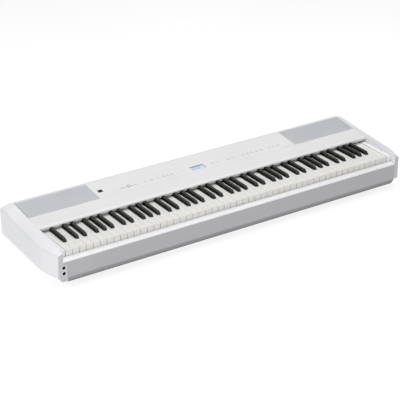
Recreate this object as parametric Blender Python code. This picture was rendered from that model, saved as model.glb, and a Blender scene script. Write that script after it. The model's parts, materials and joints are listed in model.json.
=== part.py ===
"""Portable digital piano with 88 keys, as an assembly of separate pieces.

Metres, +Z up. X runs along the keyboard from low notes to high, the player sits
on the -Y side, and the origin lies on the floor under the middle of the case.
"""

from math import atan, cos, pi, radians, sin, sqrt, tan

import bmesh
import bpy

# Overall size
WIDTH = 1.336
DEPTH = 0.358
FOOT_HEIGHT = 0.015
WALL = 0.003
GAP = 0.0003

FRONT = -DEPTH / 2
REAR = DEPTH / 2

# Keyboard
WHITE_PITCH = 0.0235
WHITE_COUNT = 52
WHITE_GAP = 0.001
WHITE_THICKNESS = 0.0218
KEY_LENGTH = 0.220
KEY_FRONT_Y = FRONT + 0.021
KEY_TOP_Z = 0.113
KEY_TILT = radians(2.3)
PIVOT_DEPTH = 0.010
HEAD_LENGTH = 0.049
BLACK_WIDTH = 0.0124
BLACK_TOP_WIDTH = 0.0100
BLACK_RISE = 0.011
BLACK_LENGTH = 0.0950
BLACK_SLOPE_RUN = 0.006
BLACK_BROW_RUN = 0.011
BLACK_CLEARANCE = 0.0008
RAIL_LENGTH = 0.008
FRAME_DROP = 0.046
FRAME_SHEET = 0.002
FRAME_HALF = 0.606
FELT_SIZE = (1.220, 0.007, 0.005)
FELT_HANG = 0.0026

# Case
INNER_HALF = 0.630
CASE_BOTTOM = FOOT_HEIGHT
CORNER_CHAMFER = 0.013
SLIP_Z = KEY_TOP_Z - 0.0223
SLIP_RADIUS = 0.006
SLIP_DROP = 0.0085
SLIP_SKIRT = 0.018
LOWER_EDGE = (0.007, 0.008)
FRONT_FLANGE = 0.029
SKIRT_HEIGHT = 0.004
TRAY_WALL = 0.004
TRAY_HEIGHT = 0.036
PAD_THICKNESS = 0.0055
SLIP_REAR_Y = KEY_FRONT_Y - 0.0011
PANEL_SLOPE = 0.0716
GRILLE_FRONT_Y = KEY_FRONT_Y + 0.2106
GRILLE_FRONT_Z = KEY_TOP_Z + 0.0195
GRILLE_REAR_Y = KEY_FRONT_Y + 0.3092
GRILLE_INNER_X = 0.3795
GRILLE_THICKNESS = 0.0022
ROLL_START_Y = KEY_FRONT_Y + 0.310
ROLL_DROP = 0.0191
NOSE_EDGE_Y = KEY_FRONT_Y + 0.140
NOSE_TOP_Y = KEY_FRONT_Y + 0.154
NOSE_RADIUS = 0.0068
NOSE_UNDER_Z = KEY_TOP_Z + 0.0064
NOSE_LIP_Y = KEY_FRONT_Y + 0.148
NOSE_LIP_LEAN = 0.0015
NOSE_LIP_Z = KEY_TOP_Z - 0.0024

# Cheeks
CHEEK_BOTTOM = KEY_TOP_Z - 0.0798
CHEEK_SLOPE = radians(22)
CHEEK_EDGE_RADIUS = 0.008
CHEEK_FRONT_RADIUS = 0.003
CHEEK_FRONT_HALF = 0.646
CHEEK_BEND_Y = KEY_FRONT_Y + 0.056
CHEEK_CURVE_Y = KEY_FRONT_Y + 0.061
CHEEK_LINE_SLOPE = 0.0436
CHEEK_LINE_CURVE = 0.587

# Controls
CONTROL_Y = KEY_FRONT_Y + 0.234
DISPLAY_SIZE = (0.052, 0.0245)
DISPLAY_Y = KEY_FRONT_Y + 0.2338
DISPLAY_THICKNESS = 0.0026
DISPLAY_SINK = 0.0002
SOCKET_SIZE = (0.0155, 0.0145)
SOCKET_MOUTH = (0.0130, 0.0074)
SOCKET_DEPTH = 0.015
SOCKET_MOUTH_DEPTH = 0.0125
SOCKET_X = -0.357
SOCKET_Y = KEY_FRONT_Y + 0.250
SLIDER_X = -0.262
SLIDER_TRAVEL = 0.052
SLIDER_KNOB = (0.009, 0.011, 0.0045)
SLIDER_NECK = (0.008, 0.0026, 0.007)
SLOT_WIDTH = 0.0030
BUTTON_SIZE = (0.0095, 0.0050)
BUTTON_RISE = 0.0008
BUTTON_TRAVEL = 0.0012
BUTTON_GROUPS = {
    "rhythm_buttons": (-0.199, -0.175, -0.151),
    "song_buttons": (-0.130, -0.1145, -0.099),
    "menu_buttons": (0.060, 0.080, 0.121, 0.140),
    "voice_buttons": (0.181, 0.1995, 0.218, 0.2365, 0.255),
    "setup_buttons": (0.287, 0.306, 0.325),
}

# Jacks and terminals
JACK_RADIUS = 0.0033
JACK_X = -0.6285
JACK_BLOCK_X = (-0.6388, -0.6155)
JACK_BLOCK_TOP = KEY_TOP_Z - 0.0345
JACK_PLATE_THICKNESS = 0.0025
JACK_CORNER = (0.015, 0.018)
JACK_CHAMFER = (0.005, 0.006)
JACK_HEIGHTS = (KEY_TOP_Z - 0.0448, KEY_TOP_Z - 0.0640)
JACK_DEPTH = 0.026
TERMINAL_X = (-0.300, -0.130)
TERMINAL_Z = (0.052, 0.084)
TERMINAL_DEPTH = 0.020
TERMINAL_FLOOR = 0.003
TERMINAL_PITCH = 0.022
TERMINAL_FIRST = 0.020
SQUARE_SOCKET_X = TERMINAL_X[0] + 0.112
SQUARE_SOCKET = (0.012, 0.011)
INLET_X = TERMINAL_X[0] + 0.136
INLET_RADIUS = 0.0045
POWER_X = TERMINAL_X[1] - 0.013
POWER_SIZE = 0.012
POWER_LENGTH = 0.0137

# Loudspeakers
WOOFER_HALF = (0.060, 0.031)
WOOFER_X = 0.505
WOOFER_Y = KEY_FRONT_Y + 0.271
WOOFER_DEPTH = 0.042
WOOFER_FLANGE = 0.008
MAGNET_RADIUS = 0.030

FOOT_X = 0.520
FOOT_Y = (FRONT + 0.045, REAR - 0.045)
FOOT_RADIUS = 0.015

BOARD_X = (-0.120, 0.300)
BOARD_THICKNESS = 0.0016
CHIP_SIZE = (0.026, 0.022)
CHIP_PITCH = 0.100
CARRIER_THICKNESS = 0.0015
CARRIER_DEPTH = 0.009

NOTE_NAMES = ("c", "c_sharp", "d", "d_sharp", "e", "f", "f_sharp", "g", "g_sharp", "a", "a_sharp", "b")
WHITE_STEPS = (0, 2, 4, 5, 7, 9, 11)
# How far each black key's middle lies from the line between its two white keys.
BLACK_SHIFTS = {1: -0.0031, 3: 0.0015, 6: -0.0040, 8: -0.0008, 10: 0.0024}
LOWEST_NOTE = 9
HIGHEST_NOTE = 96
# Notes 48 to 71, C4 to B5, are separate keys. The others are joined in combs.
SINGLE_NOTES = range(48, 72)
COMBS = {"bass": range(9, 24), "tenor": range(24, 48), "treble": range(72, 97)}


def clear_scene():
    for thing in list(bpy.data.objects):
        bpy.data.objects.remove(thing)


def material(name, colour, roughness, metallic=0.0):
    made = bpy.data.materials.new(name)
    made.use_nodes = True
    shader = made.node_tree.nodes["Principled BSDF"]
    shader.inputs["Base Color"].default_value = (*colour, 1.0)
    shader.inputs["Roughness"].default_value = roughness
    shader.inputs["Metallic"].default_value = metallic
    made.diffuse_color = (*colour, 1.0)
    return made


# Shapes


def add_prism(bm, outline, axis, low, high):
    """Adds an outline, drawn in the plane across the axis, extruded from low to high along it."""
    places = {
        "x": lambda a, b, along: (along, a, b),
        "y": lambda a, b, along: (a, along, b),
        "z": lambda a, b, along: (a, b, along),
    }
    place = places[axis]
    start = [bm.verts.new(place(a, b, low)) for a, b in outline]
    end = [bm.verts.new(place(a, b, high)) for a, b in outline]
    bm.faces.new(start)
    bm.faces.new(reversed(end))
    for i in range(len(outline)):
        j = (i + 1) % len(outline)
        bm.faces.new((start[i], start[j], end[j], end[i]))


def add_box(bm, low, high):
    outline = [(low[0], low[1]), (high[0], low[1]), (high[0], high[1]), (low[0], high[1])]
    add_prism(bm, outline, "z", low[2], high[2])


def add_loft(bm, rings):
    """Adds a closed skin through rings that have the same number of points."""
    made = [[bm.verts.new(point) for point in ring] for ring in rings]
    for one, two in zip(made, made[1:]):
        for i in range(len(one)):
            j = (i + 1) % len(one)
            bm.faces.new((one[i], one[j], two[j], two[i]))
    bm.faces.new(made[0])
    bm.faces.new(reversed(made[-1]))


def add_turned(bm, profile, sides, squash=1.0):
    """Adds a turned shape about Z from (radius, height) points. squash flattens it along Y."""
    rings = []
    for radius, height in profile:
        turn = [2 * pi * i / sides for i in range(sides)]
        rings.append([(radius * cos(a), radius * squash * sin(a), height) for a in turn])
    add_loft(bm, rings)


def arc(centre, radii, start, end, steps):
    """Points of an elliptical arc; the angles are in degrees."""
    points = []
    for i in range(steps + 1):
        angle = radians(start + (end - start) * i / steps)
        points.append((centre[0] + radii[0] * cos(angle), centre[1] + radii[1] * sin(angle)))
    return points


def finish(name, bm, look, smooth=False):
    bmesh.ops.recalc_face_normals(bm, faces=bm.faces)
    mesh = bpy.data.meshes.new(name)
    bm.to_mesh(mesh)
    bm.free()
    if smooth:
        mesh.shade_smooth()
        mesh.set_sharp_from_angle(angle=radians(35))
    mesh.materials.append(look)
    made = bpy.data.objects.new(name, mesh)
    bpy.context.scene.collection.objects.link(made)
    return made


def combine(target, bm, operation):
    """Cuts the shapes in bm from the target, or joins them to it."""
    bmesh.ops.recalc_face_normals(bm, faces=bm.faces)
    mesh = bpy.data.meshes.new(target.name + "_tool")
    bm.to_mesh(mesh)
    bm.free()
    tool = bpy.data.objects.new(mesh.name, mesh)
    tool.matrix_world = target.matrix_world
    tool.hide_render = True
    tool.display_type = "WIRE"
    bpy.context.scene.collection.objects.link(tool)
    step = target.modifiers.new(operation.lower(), "BOOLEAN")
    step.operation = operation
    step.solver = "EXACT"
    step.object = tool


def panel_z(y):
    """Height of the control panel's flat top at y."""
    return GRILLE_FRONT_Z + PANEL_SLOPE * (y - GRILLE_FRONT_Y)


def on_panel(thing, x, y):
    """Stands an object on the panel, its own Z along the panel's normal."""
    thing.location = (x, y, panel_z(y))
    thing.rotation_euler.x = PANEL_TILT


PANEL_TILT = atan(PANEL_SLOPE)
ROLL_DEPTH = REAR - ROLL_START_Y
ROLL_FOOT_Z = panel_z(ROLL_START_Y) - ROLL_DROP


# Case


def roll_drop(y):
    """How far the rear roll has fallen below the panel line at y."""
    part = max(0.0, y - ROLL_START_Y) / ROLL_DEPTH
    return ROLL_DROP * (1 - sqrt(max(0.0, 1 - part * part)))


def lid_outline():
    """The control panel's cross-section: rear skirt, roll, flat top and the nose over the keys."""
    roll = (ROLL_START_Y, ROLL_FOOT_Z)
    nose = (NOSE_TOP_Y, panel_z(NOSE_TOP_Y) - NOSE_RADIUS)
    nose_depth = NOSE_TOP_Y - NOSE_EDGE_Y
    under_y = NOSE_LIP_Y - NOSE_LIP_LEAN
    skirt = ROLL_FOOT_Z - SKIRT_HEIGHT
    outer = [(REAR, skirt)]
    outer += arc(roll, (ROLL_DEPTH, ROLL_DROP), 0, 90, 8)
    outer += arc(nose, (nose_depth, NOSE_RADIUS), 90, 180, 6)
    outer += [(under_y, NOSE_UNDER_Z), (NOSE_LIP_Y, NOSE_LIP_Z)]
    inner = [(NOSE_LIP_Y + WALL, NOSE_LIP_Z), (under_y + WALL, NOSE_UNDER_Z + NOSE_LIP_LEAN)]
    inner += arc(nose, (nose_depth - 2 * WALL, NOSE_RADIUS - WALL), 160, 90, 4)
    inner += arc(roll, (ROLL_DEPTH - WALL, ROLL_DROP - WALL), 90, 0, 8)
    inner += [(REAR - WALL, skirt)]
    return outer + inner


def make_top_panel(look):
    bm = bmesh.new()
    length = INNER_HALF - GAP
    add_prism(bm, lid_outline(), "x", -length, length)
    lid = finish("top_panel", bm, look, smooth=True)

    pads = bmesh.new()
    for side in (-1, 1):
        near, far = GRILLE_FRONT_Y - 0.004, GRILLE_REAR_Y + 0.001
        ends = sorted((side * (GRILLE_INNER_X - 0.006), side * length))
        outline = [(near, panel_z(near) - 0.001), (far, panel_z(far) - 0.001)]
        low = 0.001 + PAD_THICKNESS
        outline += [(far, panel_z(far) - low), (near, panel_z(near) - low)]
        add_prism(pads, outline, "x", *ends)
    combine(lid, pads, "UNION")

    cuts = bmesh.new()
    for side in (-1, 1):
        near, far = GRILLE_FRONT_Y - GAP, GRILLE_REAR_Y + GAP
        ends = sorted((side * (GRILLE_INNER_X - GAP), side * (length + 0.001)))
        outline = [(near, panel_z(near) + 0.002), (far, panel_z(far) + 0.002)]
        floor = GRILLE_THICKNESS + GAP
        outline += [(far, panel_z(far) - floor), (near, panel_z(near) - floor)]
        add_prism(cuts, outline, "x", *ends)
    combine(lid, cuts, "DIFFERENCE")

    holes = bmesh.new()
    open_x, open_y = WOOFER_HALF[0] - 0.007, WOOFER_HALF[1] - 0.006
    for side in (-1, 1):
        profile = [(open_x, KEY_TOP_Z - 0.003), (open_x, KEY_TOP_Z + 0.037)]
        before = len(holes.verts)
        add_turned(holes, profile, 32, open_y / open_x)
        fresh = list(holes.verts)[before:]
        bmesh.ops.translate(holes, vec=(side * WOOFER_X, WOOFER_Y, 0), verts=fresh)
    wide, deep = DISPLAY_SIZE
    add_panel_hole(holes, 0, DISPLAY_Y, wide, deep)
    add_panel_hole(holes, SOCKET_X, SOCKET_Y, *SOCKET_SIZE)
    add_panel_hole(holes, SLIDER_X, CONTROL_Y, SLIDER_TRAVEL + 0.010, SLOT_WIDTH)
    for places in BUTTON_GROUPS.values():
        for x in places:
            add_panel_hole(holes, x, CONTROL_Y, *BUTTON_SIZE)
    combine(lid, holes, "DIFFERENCE")


def add_panel_hole(bm, x, y, wide, deep):
    """A cutter through the panel that leaves the usual gap round a piece of this size."""
    half_x, half_y = wide / 2 + GAP, deep / 2 + GAP
    low = (x - half_x, y - half_y, panel_z(y) - 0.012)
    high = (x + half_x, y + half_y, panel_z(y) + 0.006)
    add_box(bm, low, high)


def front_outline():
    """The front panel's cross-section: slip behind the keys' fronts, face and rounded lower edge."""
    top = SLIP_Z
    bottom = CASE_BOTTOM
    deep, tall = LOWER_EDGE
    upper = (FRONT + SLIP_RADIUS, top - SLIP_DROP)
    lower = (FRONT + deep, bottom + tall)
    outer = [(SLIP_REAR_Y, top)]
    outer += arc(upper, (SLIP_RADIUS, SLIP_RADIUS), 100, 180, 5)
    outer += arc(lower, (deep, tall), 180, 270, 5)
    outer += [(FRONT + FRONT_FLANGE, bottom), (FRONT + FRONT_FLANGE, bottom + WALL)]
    inner = arc(lower, (deep - WALL, tall - WALL), 270, 180, 5)
    inner += arc(upper, (SLIP_RADIUS - WALL, SLIP_RADIUS - WALL), 180, 100, 5)
    inner += [(SLIP_REAR_Y - WALL, top - WALL)]
    inner += [(SLIP_REAR_Y - WALL, top - SLIP_SKIRT), (SLIP_REAR_Y, top - SLIP_SKIRT)]
    return outer + inner


def add_end_chamfers(bm, half, y_low, y_high):
    """Cutters that slope the two lower end corners of the case."""
    for side in (-1, 1):
        low = CASE_BOTTOM - 0.001
        run = CORNER_CHAMFER + 0.001
        outline = [
            (side * (half - run), low),
            (side * (half + 0.002), low),
            (side * (half + 0.002), low + run + 0.002),
        ]
        add_prism(bm, outline, "y", y_low, y_high)


def make_front_panel(look):
    bm = bmesh.new()
    length = INNER_HALF - GAP
    add_prism(bm, front_outline(), "x", -length, length)
    front = finish("front_panel", bm, look, smooth=True)
    cuts = bmesh.new()
    add_end_chamfers(cuts, length, FRONT - 0.002, FRONT + 0.040)
    low = (JACK_BLOCK_X[0], FRONT - 0.002, CASE_BOTTOM - 0.002)
    high = (JACK_BLOCK_X[1] + GAP, FRONT + FRONT_FLANGE + 0.001, JACK_BLOCK_TOP + GAP)
    add_box(cuts, low, high)
    combine(front, cuts, "DIFFERENCE")


def make_bottom_case(look):
    half = INNER_HALF - 0.001
    near, far = FRONT + FRONT_FLANGE + GAP, REAR - WALL - GAP
    wall = TRAY_WALL
    rim = CASE_BOTTOM + TRAY_HEIGHT
    chamfer = CORNER_CHAMFER
    outer = [(-half, rim), (-half, CASE_BOTTOM + chamfer), (-half + chamfer, CASE_BOTTOM)]
    outer += [(half - chamfer, CASE_BOTTOM), (half, CASE_BOTTOM + chamfer), (half, rim)]
    bm = bmesh.new()
    add_prism(bm, outer, "y", near, far)
    tray = finish("bottom_case", bm, look)
    slope = wall * tan(radians(22.5))
    inner = [
        (-half + wall, rim + 0.001),
        (-half + wall, CASE_BOTTOM + chamfer + slope),
        (-half + chamfer + slope, CASE_BOTTOM + wall),
        (half - chamfer - slope, CASE_BOTTOM + wall),
        (half - wall, CASE_BOTTOM + chamfer + slope),
        (half - wall, rim + 0.001),
    ]
    hollow = bmesh.new()
    add_prism(hollow, inner, "y", near + wall, far - wall)
    combine(tray, hollow, "DIFFERENCE")


def make_rear_panel(look):
    half = INNER_HALF - GAP
    chamfer = CORNER_CHAMFER
    top = ROLL_FOOT_Z - SKIRT_HEIGHT - GAP
    outline = [(-half, top), (-half, CASE_BOTTOM + chamfer), (-half + chamfer, CASE_BOTTOM)]
    outline += [(half - chamfer, CASE_BOTTOM), (half, CASE_BOTTOM + chamfer), (half, top)]
    bm = bmesh.new()
    add_prism(bm, outline, "y", REAR - WALL, REAR)
    panel = finish("rear_panel", bm, look)
    cut = bmesh.new()
    low = (TERMINAL_X[0] - GAP, REAR - 0.006, TERMINAL_Z[0] - GAP)
    high = (TERMINAL_X[1] + GAP, REAR + 0.002, TERMINAL_Z[1] + GAP)
    add_box(cut, low, high)
    combine(panel, cut, "DIFFERENCE")


# Cheeks


def cheek_line(y):
    """Height of the cheek's inner top edge at y, without the rear roll."""
    z = GRILLE_FRONT_Z + CHEEK_LINE_SLOPE * (y - GRILLE_FRONT_Y)
    if y > GRILLE_FRONT_Y:
        return panel_z(min(y, ROLL_START_Y))
    ahead = max(0.0, CHEEK_CURVE_Y - y)
    return z - CHEEK_LINE_CURVE * ahead * ahead


def cheek_section(y):
    """Points (x, z) across the right cheek at y."""
    front = max(0.0, min(1.0, (CHEEK_BEND_Y - y) / (CHEEK_BEND_Y - FRONT)))
    outer = WIDTH / 2 + front * (CHEEK_FRONT_HALF - WIDTH / 2)
    radius = CHEEK_EDGE_RADIUS + front * (CHEEK_FRONT_RADIUS - CHEEK_EDGE_RADIUS)
    inner = INNER_HALF + GAP
    edge_x = outer - radius * (1 - sin(CHEEK_SLOPE))
    edge_drop = (edge_x - inner) * tan(CHEEK_SLOPE)
    drops = [(inner, 0.0), (edge_x, edge_drop)]
    for i in range(1, 6):
        angle = CHEEK_SLOPE + (pi / 2 - CHEEK_SLOPE) * i / 5
        x = edge_x + radius * (sin(angle) - sin(CHEEK_SLOPE))
        drops.append((x, edge_drop + radius * (cos(CHEEK_SLOPE) - cos(angle))))
    top = []
    fall = roll_drop(y)
    for x, drop in drops:
        blended = (drop**4 + fall**4) ** 0.25
        top.append((x, cheek_line(y) - blended))
    return [(inner, CHEEK_BOTTOM)] + top + [(outer, CHEEK_BOTTOM)]


def cheek_stations():
    stations = [FRONT, FRONT + 0.020, FRONT + 0.040, FRONT + 0.060]
    stations += [CHEEK_BEND_Y - 0.004, CHEEK_BEND_Y + 0.004, CHEEK_BEND_Y + 0.030]
    stations += [0.0, GRILLE_FRONT_Y]
    for i in range(9):
        stations.append(ROLL_START_Y + ROLL_DEPTH * sin(i / 8 * pi / 2))
    return stations


def make_cheek(name, side, look):
    rings = []
    for y in cheek_stations():
        rings.append([(side * x, y, z) for x, z in cheek_section(y)])
    bm = bmesh.new()
    add_loft(bm, rings)
    cheek = finish(name, bm, look, smooth=True)
    cuts = bmesh.new()
    ends = sorted((side * (INNER_HALF - 0.001), side * (WIDTH / 2 - 0.010)))
    low = (ends[0], CHEEK_BEND_Y + 0.006, CHEEK_BOTTOM + 0.004)
    high = (ends[1], REAR - 0.008, KEY_TOP_Z - 0.006)
    add_box(cuts, low, high)
    if side < 0:
        inner, top = -INNER_HALF + 0.001, JACK_BLOCK_TOP + GAP
        low = (JACK_BLOCK_X[0] - GAP, FRONT - 0.002, CHEEK_BOTTOM - 0.002)
        add_box(cuts, low, (inner, FRONT + JACK_DEPTH + 0.002, top))
        recess = bmesh.new()
        low = (-WIDTH / 2, FRONT - 0.002, CHEEK_BOTTOM - 0.002)
        add_box(recess, low, (inner, FRONT + JACK_PLATE_THICKNESS + GAP, top))
        combine(cheek, recess, "DIFFERENCE")
    combine(cheek, cuts, "DIFFERENCE")


def make_key_block(name, side, look):
    """The block that fills the space between the last white key and the cheek."""
    inner = WHITE_COUNT * WHITE_PITCH / 2 + 0.0015
    ends = sorted((side * inner, side * (INNER_HALF - GAP)))
    rear = NOSE_LIP_Y - 0.002
    outline = [(KEY_FRONT_Y, SLIP_Z), (KEY_FRONT_Y, KEY_TOP_Z)]
    outline += [(rear, KEY_TOP_Z - 0.0036), (rear, SLIP_Z)]
    bm = bmesh.new()
    add_prism(bm, outline, "x", *ends)
    finish(name, bm, look)


# Keys


def white_index(note):
    """Number of white keys below a note, counted from the lowest key."""
    octave, step = divmod(note, 12)
    lowest = 5
    return octave * 7 + sum(1 for white in WHITE_STEPS if white < step) - lowest


def white_left(note):
    return (white_index(note) - WHITE_COUNT / 2) * WHITE_PITCH


def black_centre(note):
    return white_left(note) + BLACK_SHIFTS[note % 12]


def is_white(note):
    return note % 12 in WHITE_STEPS


def add_white_key(bm, note):
    """A white key in the keyboard's own frame, with the pivot line at y 0 and z 0."""
    left = white_left(note) + WHITE_GAP / 2
    right = white_left(note) + WHITE_PITCH - WHITE_GAP / 2
    notch = BLACK_WIDTH / 2 + BLACK_CLEARANCE
    tail_left, tail_right = left, right
    if note > LOWEST_NOTE and not is_white(note - 1):
        tail_left = black_centre(note - 1) + notch
    if note < HIGHEST_NOTE and not is_white(note + 1):
        tail_right = black_centre(note + 1) - notch
    front = -KEY_LENGTH
    head = front + HEAD_LENGTH
    outline = [(left, front), (right, front)]
    if tail_right < right:
        outline += [(right, head), (tail_right, head)]
    outline += [(tail_right, 0.006), (tail_left, 0.006)]
    if tail_left > left:
        outline += [(tail_left, head), (left, head)]
    add_prism(bm, outline, "z", PIVOT_DEPTH - WHITE_THICKNESS, PIVOT_DEPTH)


def add_black_key(bm, note, foot):
    """A black key: a raised cap with a sloped front, and a low tail that runs to the pivot."""
    low = PIVOT_DEPTH - WHITE_THICKNESS
    deck = PIVOT_DEPTH - 0.002
    front = -KEY_LENGTH + HEAD_LENGTH + BLACK_CLEARANCE
    rear = front + BLACK_LENGTH
    top = PIVOT_DEPTH + BLACK_RISE
    profile = [(front, low), (front, PIVOT_DEPTH + 0.001), (front + BLACK_SLOPE_RUN, top - 0.002)]
    profile += [(front + BLACK_BROW_RUN, top), (rear, top), (rear, deck)]
    if foot:
        # A foot under the tail reaches the rail that joins the black keys of a comb.
        profile += [(-0.002, deck), (-0.002, low), (-0.008, low), (-0.008, low - 0.006)]
        profile += [(-0.014, low - 0.006), (-0.014, low)]
    else:
        profile += [(-0.002, deck), (-0.002, low)]
    centre = black_centre(note)
    before = len(bm.verts)
    add_prism(bm, profile, "x", centre - BLACK_WIDTH / 2, centre + BLACK_WIDTH / 2)
    narrow = (BLACK_WIDTH - BLACK_TOP_WIDTH) / 2
    for vertex in list(bm.verts)[before:]:
        rise = max(0.0, vertex.co.z - PIVOT_DEPTH) / BLACK_RISE
        vertex.co.x += narrow * rise * (1 if vertex.co.x < centre else -1)


def place_on_pivot(thing):
    thing.location = (0, PIVOT_Y, PIVOT_Z)
    thing.rotation_euler.x = -KEY_TILT


PIVOT_Y = KEY_FRONT_Y + KEY_LENGTH * cos(KEY_TILT) - PIVOT_DEPTH * sin(KEY_TILT)
PIVOT_Z = KEY_TOP_Z - KEY_LENGTH * sin(KEY_TILT) - PIVOT_DEPTH * cos(KEY_TILT)


def make_single_keys(ivory, ebony):
    for note in SINGLE_NOTES:
        octave, step = divmod(note, 12)
        bm = bmesh.new()
        if is_white(note):
            add_white_key(bm, note)
        else:
            add_black_key(bm, note, foot=False)
        look = ivory if is_white(note) else ebony
        place_on_pivot(finish(f"key_{NOTE_NAMES[step]}{octave}", bm, look))


def make_comb(name, notes, whites, look):
    """A run of keys of one colour, joined by a rail across their hidden rear ends."""
    chosen = [note for note in notes if is_white(note) == whites]
    keys = bmesh.new()
    for note in chosen:
        if whites:
            add_white_key(keys, note)
        else:
            add_black_key(keys, note, foot=True)
    low = PIVOT_DEPTH - WHITE_THICKNESS
    rail = bmesh.new()
    if whites:
        start = white_left(chosen[0]) + WHITE_GAP / 2 + 0.001
        end = white_left(chosen[-1]) + WHITE_PITCH - WHITE_GAP / 2 - 0.001
        add_box(rail, (start, 0.004, low + 0.001), (end, 0.004 + RAIL_LENGTH, PIVOT_DEPTH - 0.001))
    else:
        start = black_centre(chosen[0]) - BLACK_WIDTH / 2 + 0.001
        end = black_centre(chosen[-1]) + BLACK_WIDTH / 2 - 0.001
        add_box(rail, (start, -0.013, low - 0.008), (end, -0.009, low - 0.002))
    made = finish(name, rail, look)
    place_on_pivot(made)
    bpy.context.view_layer.update()
    combine(made, keys, "UNION")


def make_key_frame(look):
    """The steel bed under the keys, with the rail that they rest on at the rear."""
    floor = KEY_TOP_Z - FRAME_DROP
    near, far = KEY_FRONT_Y + 0.004, PIVOT_Y + 0.020
    rail_top = PIVOT_Z + PIVOT_DEPTH - WHITE_THICKNESS - BLACK_CLEARANCE
    rail_near, rail_far = PIVOT_Y - RAIL_LENGTH / 2, PIVOT_Y + RAIL_LENGTH / 2
    lip = floor + 3 * FRAME_SHEET
    deck = floor + FRAME_SHEET
    outline = [(near, floor), (near, lip), (near + FRAME_SHEET, lip)]
    outline += [(near + FRAME_SHEET, deck), (rail_near, deck)]
    outline += [(rail_near, rail_top), (rail_far, rail_top)]
    outline += [(rail_far, deck), (far, deck), (far, floor)]
    bm = bmesh.new()
    add_prism(bm, outline, "x", -FRAME_HALF, FRAME_HALF)
    finish("key_frame", bm, look)


def make_felt(look):
    """The felt strip in the slot behind the keys, under the nose."""
    wide, deep, high = FELT_SIZE
    near = NOSE_LIP_Y + WALL + 0.001
    low = NOSE_LIP_Z - FELT_HANG
    bm = bmesh.new()
    add_box(bm, (-wide / 2, near, low), (wide / 2, near + deep, low + high))
    finish("key_felt", bm, look)


# Controls, sockets and electronics


def make_button_group(name, places, look):
    """Caps on one carrier strip under the panel, pushed in against the contacts below."""
    middle = (places[0] + places[-1]) / 2
    half_x, half_y = BUTTON_SIZE[0] / 2, BUTTON_SIZE[1] / 2
    strip_top = -WALL - BUTTON_TRAVEL - 0.0010
    bm = bmesh.new()
    reach = places[-1] - middle + half_x + 0.001
    low = (-reach, -CARRIER_DEPTH / 2, strip_top - CARRIER_THICKNESS)
    add_box(bm, low, (reach, CARRIER_DEPTH / 2, strip_top))
    group = finish(name, bm, look)
    on_panel(group, middle, CONTROL_Y)
    bpy.context.view_layer.update()
    caps = bmesh.new()
    for x in places:
        at = x - middle
        add_box(caps, (at - half_x, -half_y, strip_top - 0.0005), (at + half_x, half_y, BUTTON_RISE))
    combine(group, caps, "UNION")


def make_slider(look):
    """The volume slider: a knob on a thin neck that runs in the panel's slot."""
    wide, deep, top = SLIDER_KNOB
    bm = bmesh.new()
    add_box(bm, (-wide / 2, -deep / 2, GAP), (wide / 2, deep / 2, top))
    slider = finish("volume_slider", bm, look)
    on_panel(slider, SLIDER_X, CONTROL_Y)
    bpy.context.view_layer.update()
    wide, deep, reach = SLIDER_NECK
    neck = bmesh.new()
    add_box(neck, (-wide / 2, -deep / 2, -reach), (wide / 2, deep / 2, 0.001))
    combine(slider, neck, "UNION")


def make_display(look):
    wide, deep = DISPLAY_SIZE
    bm = bmesh.new()
    low = -DISPLAY_SINK - DISPLAY_THICKNESS
    add_box(bm, (-wide / 2, -deep / 2, low), (wide / 2, deep / 2, -DISPLAY_SINK))
    on_panel(finish("display_window", bm, look), 0, DISPLAY_Y)


def make_usb_socket(look):
    half_x, half_y = SOCKET_SIZE[0] / 2, SOCKET_SIZE[1] / 2
    bm = bmesh.new()
    add_box(bm, (-half_x, -half_y, -SOCKET_DEPTH), (half_x, half_y, GAP))
    socket = finish("usb_socket", bm, look)
    on_panel(socket, SOCKET_X, SOCKET_Y)
    bpy.context.view_layer.update()
    half_x, half_y = SOCKET_MOUTH[0] / 2, SOCKET_MOUTH[1] / 2
    hole = bmesh.new()
    add_box(hole, (-half_x, -half_y, -SOCKET_MOUTH_DEPTH), (half_x, half_y, 0.002))
    combine(socket, hole, "DIFFERENCE")


def add_bore(bm, x, z, y_low, y_high, radius, sides=16):
    outline = []
    for i in range(sides):
        angle = 2 * pi * (i + 0.5) / sides
        outline.append((x + radius * cos(angle), z + radius * sin(angle)))
    add_prism(bm, outline, "y", y_low, y_high)


def jack_outline(left):
    """The headphone block's front outline from a left edge on: its lower left corner is cut off."""
    low, high = CASE_BOTTOM + GAP, JACK_BLOCK_TOP
    run, rise = JACK_CORNER
    corner = -CHEEK_FRONT_HALF + run
    cut_z = low + rise * (corner - left) / run
    return [(left, high), (JACK_BLOCK_X[1], high), (JACK_BLOCK_X[1], low), (corner, low), (left, cut_z)]


def make_headphone_jacks(look):
    """A face plate as wide as the cheek's front, with the block of two jacks behind it."""
    bm = bmesh.new()
    plate_rear = FRONT + JACK_PLATE_THICKNESS
    add_prism(bm, jack_outline(-CHEEK_FRONT_HALF), "y", FRONT, plate_rear)
    block = finish("headphone_jacks", bm, look)
    body = bmesh.new()
    add_prism(body, jack_outline(JACK_BLOCK_X[0]), "y", plate_rear - 0.001, FRONT + JACK_DEPTH)
    combine(block, body, "UNION")
    cuts = bmesh.new()
    for z in JACK_HEIGHTS:
        add_bore(cuts, JACK_X, z, FRONT - 0.002, FRONT + JACK_DEPTH - 0.003, JACK_RADIUS)
    deep, tall = JACK_CHAMFER
    low = CASE_BOTTOM + GAP
    wedge = [(FRONT - deep / 5, low - tall / 5), (FRONT + deep * 1.2, low - tall / 5)]
    wedge += [(FRONT - deep / 5, low + tall * 1.24)]
    add_prism(cuts, wedge, "x", -WIDTH / 2, JACK_BLOCK_X[1] + 0.002)
    combine(block, cuts, "DIFFERENCE")


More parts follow.
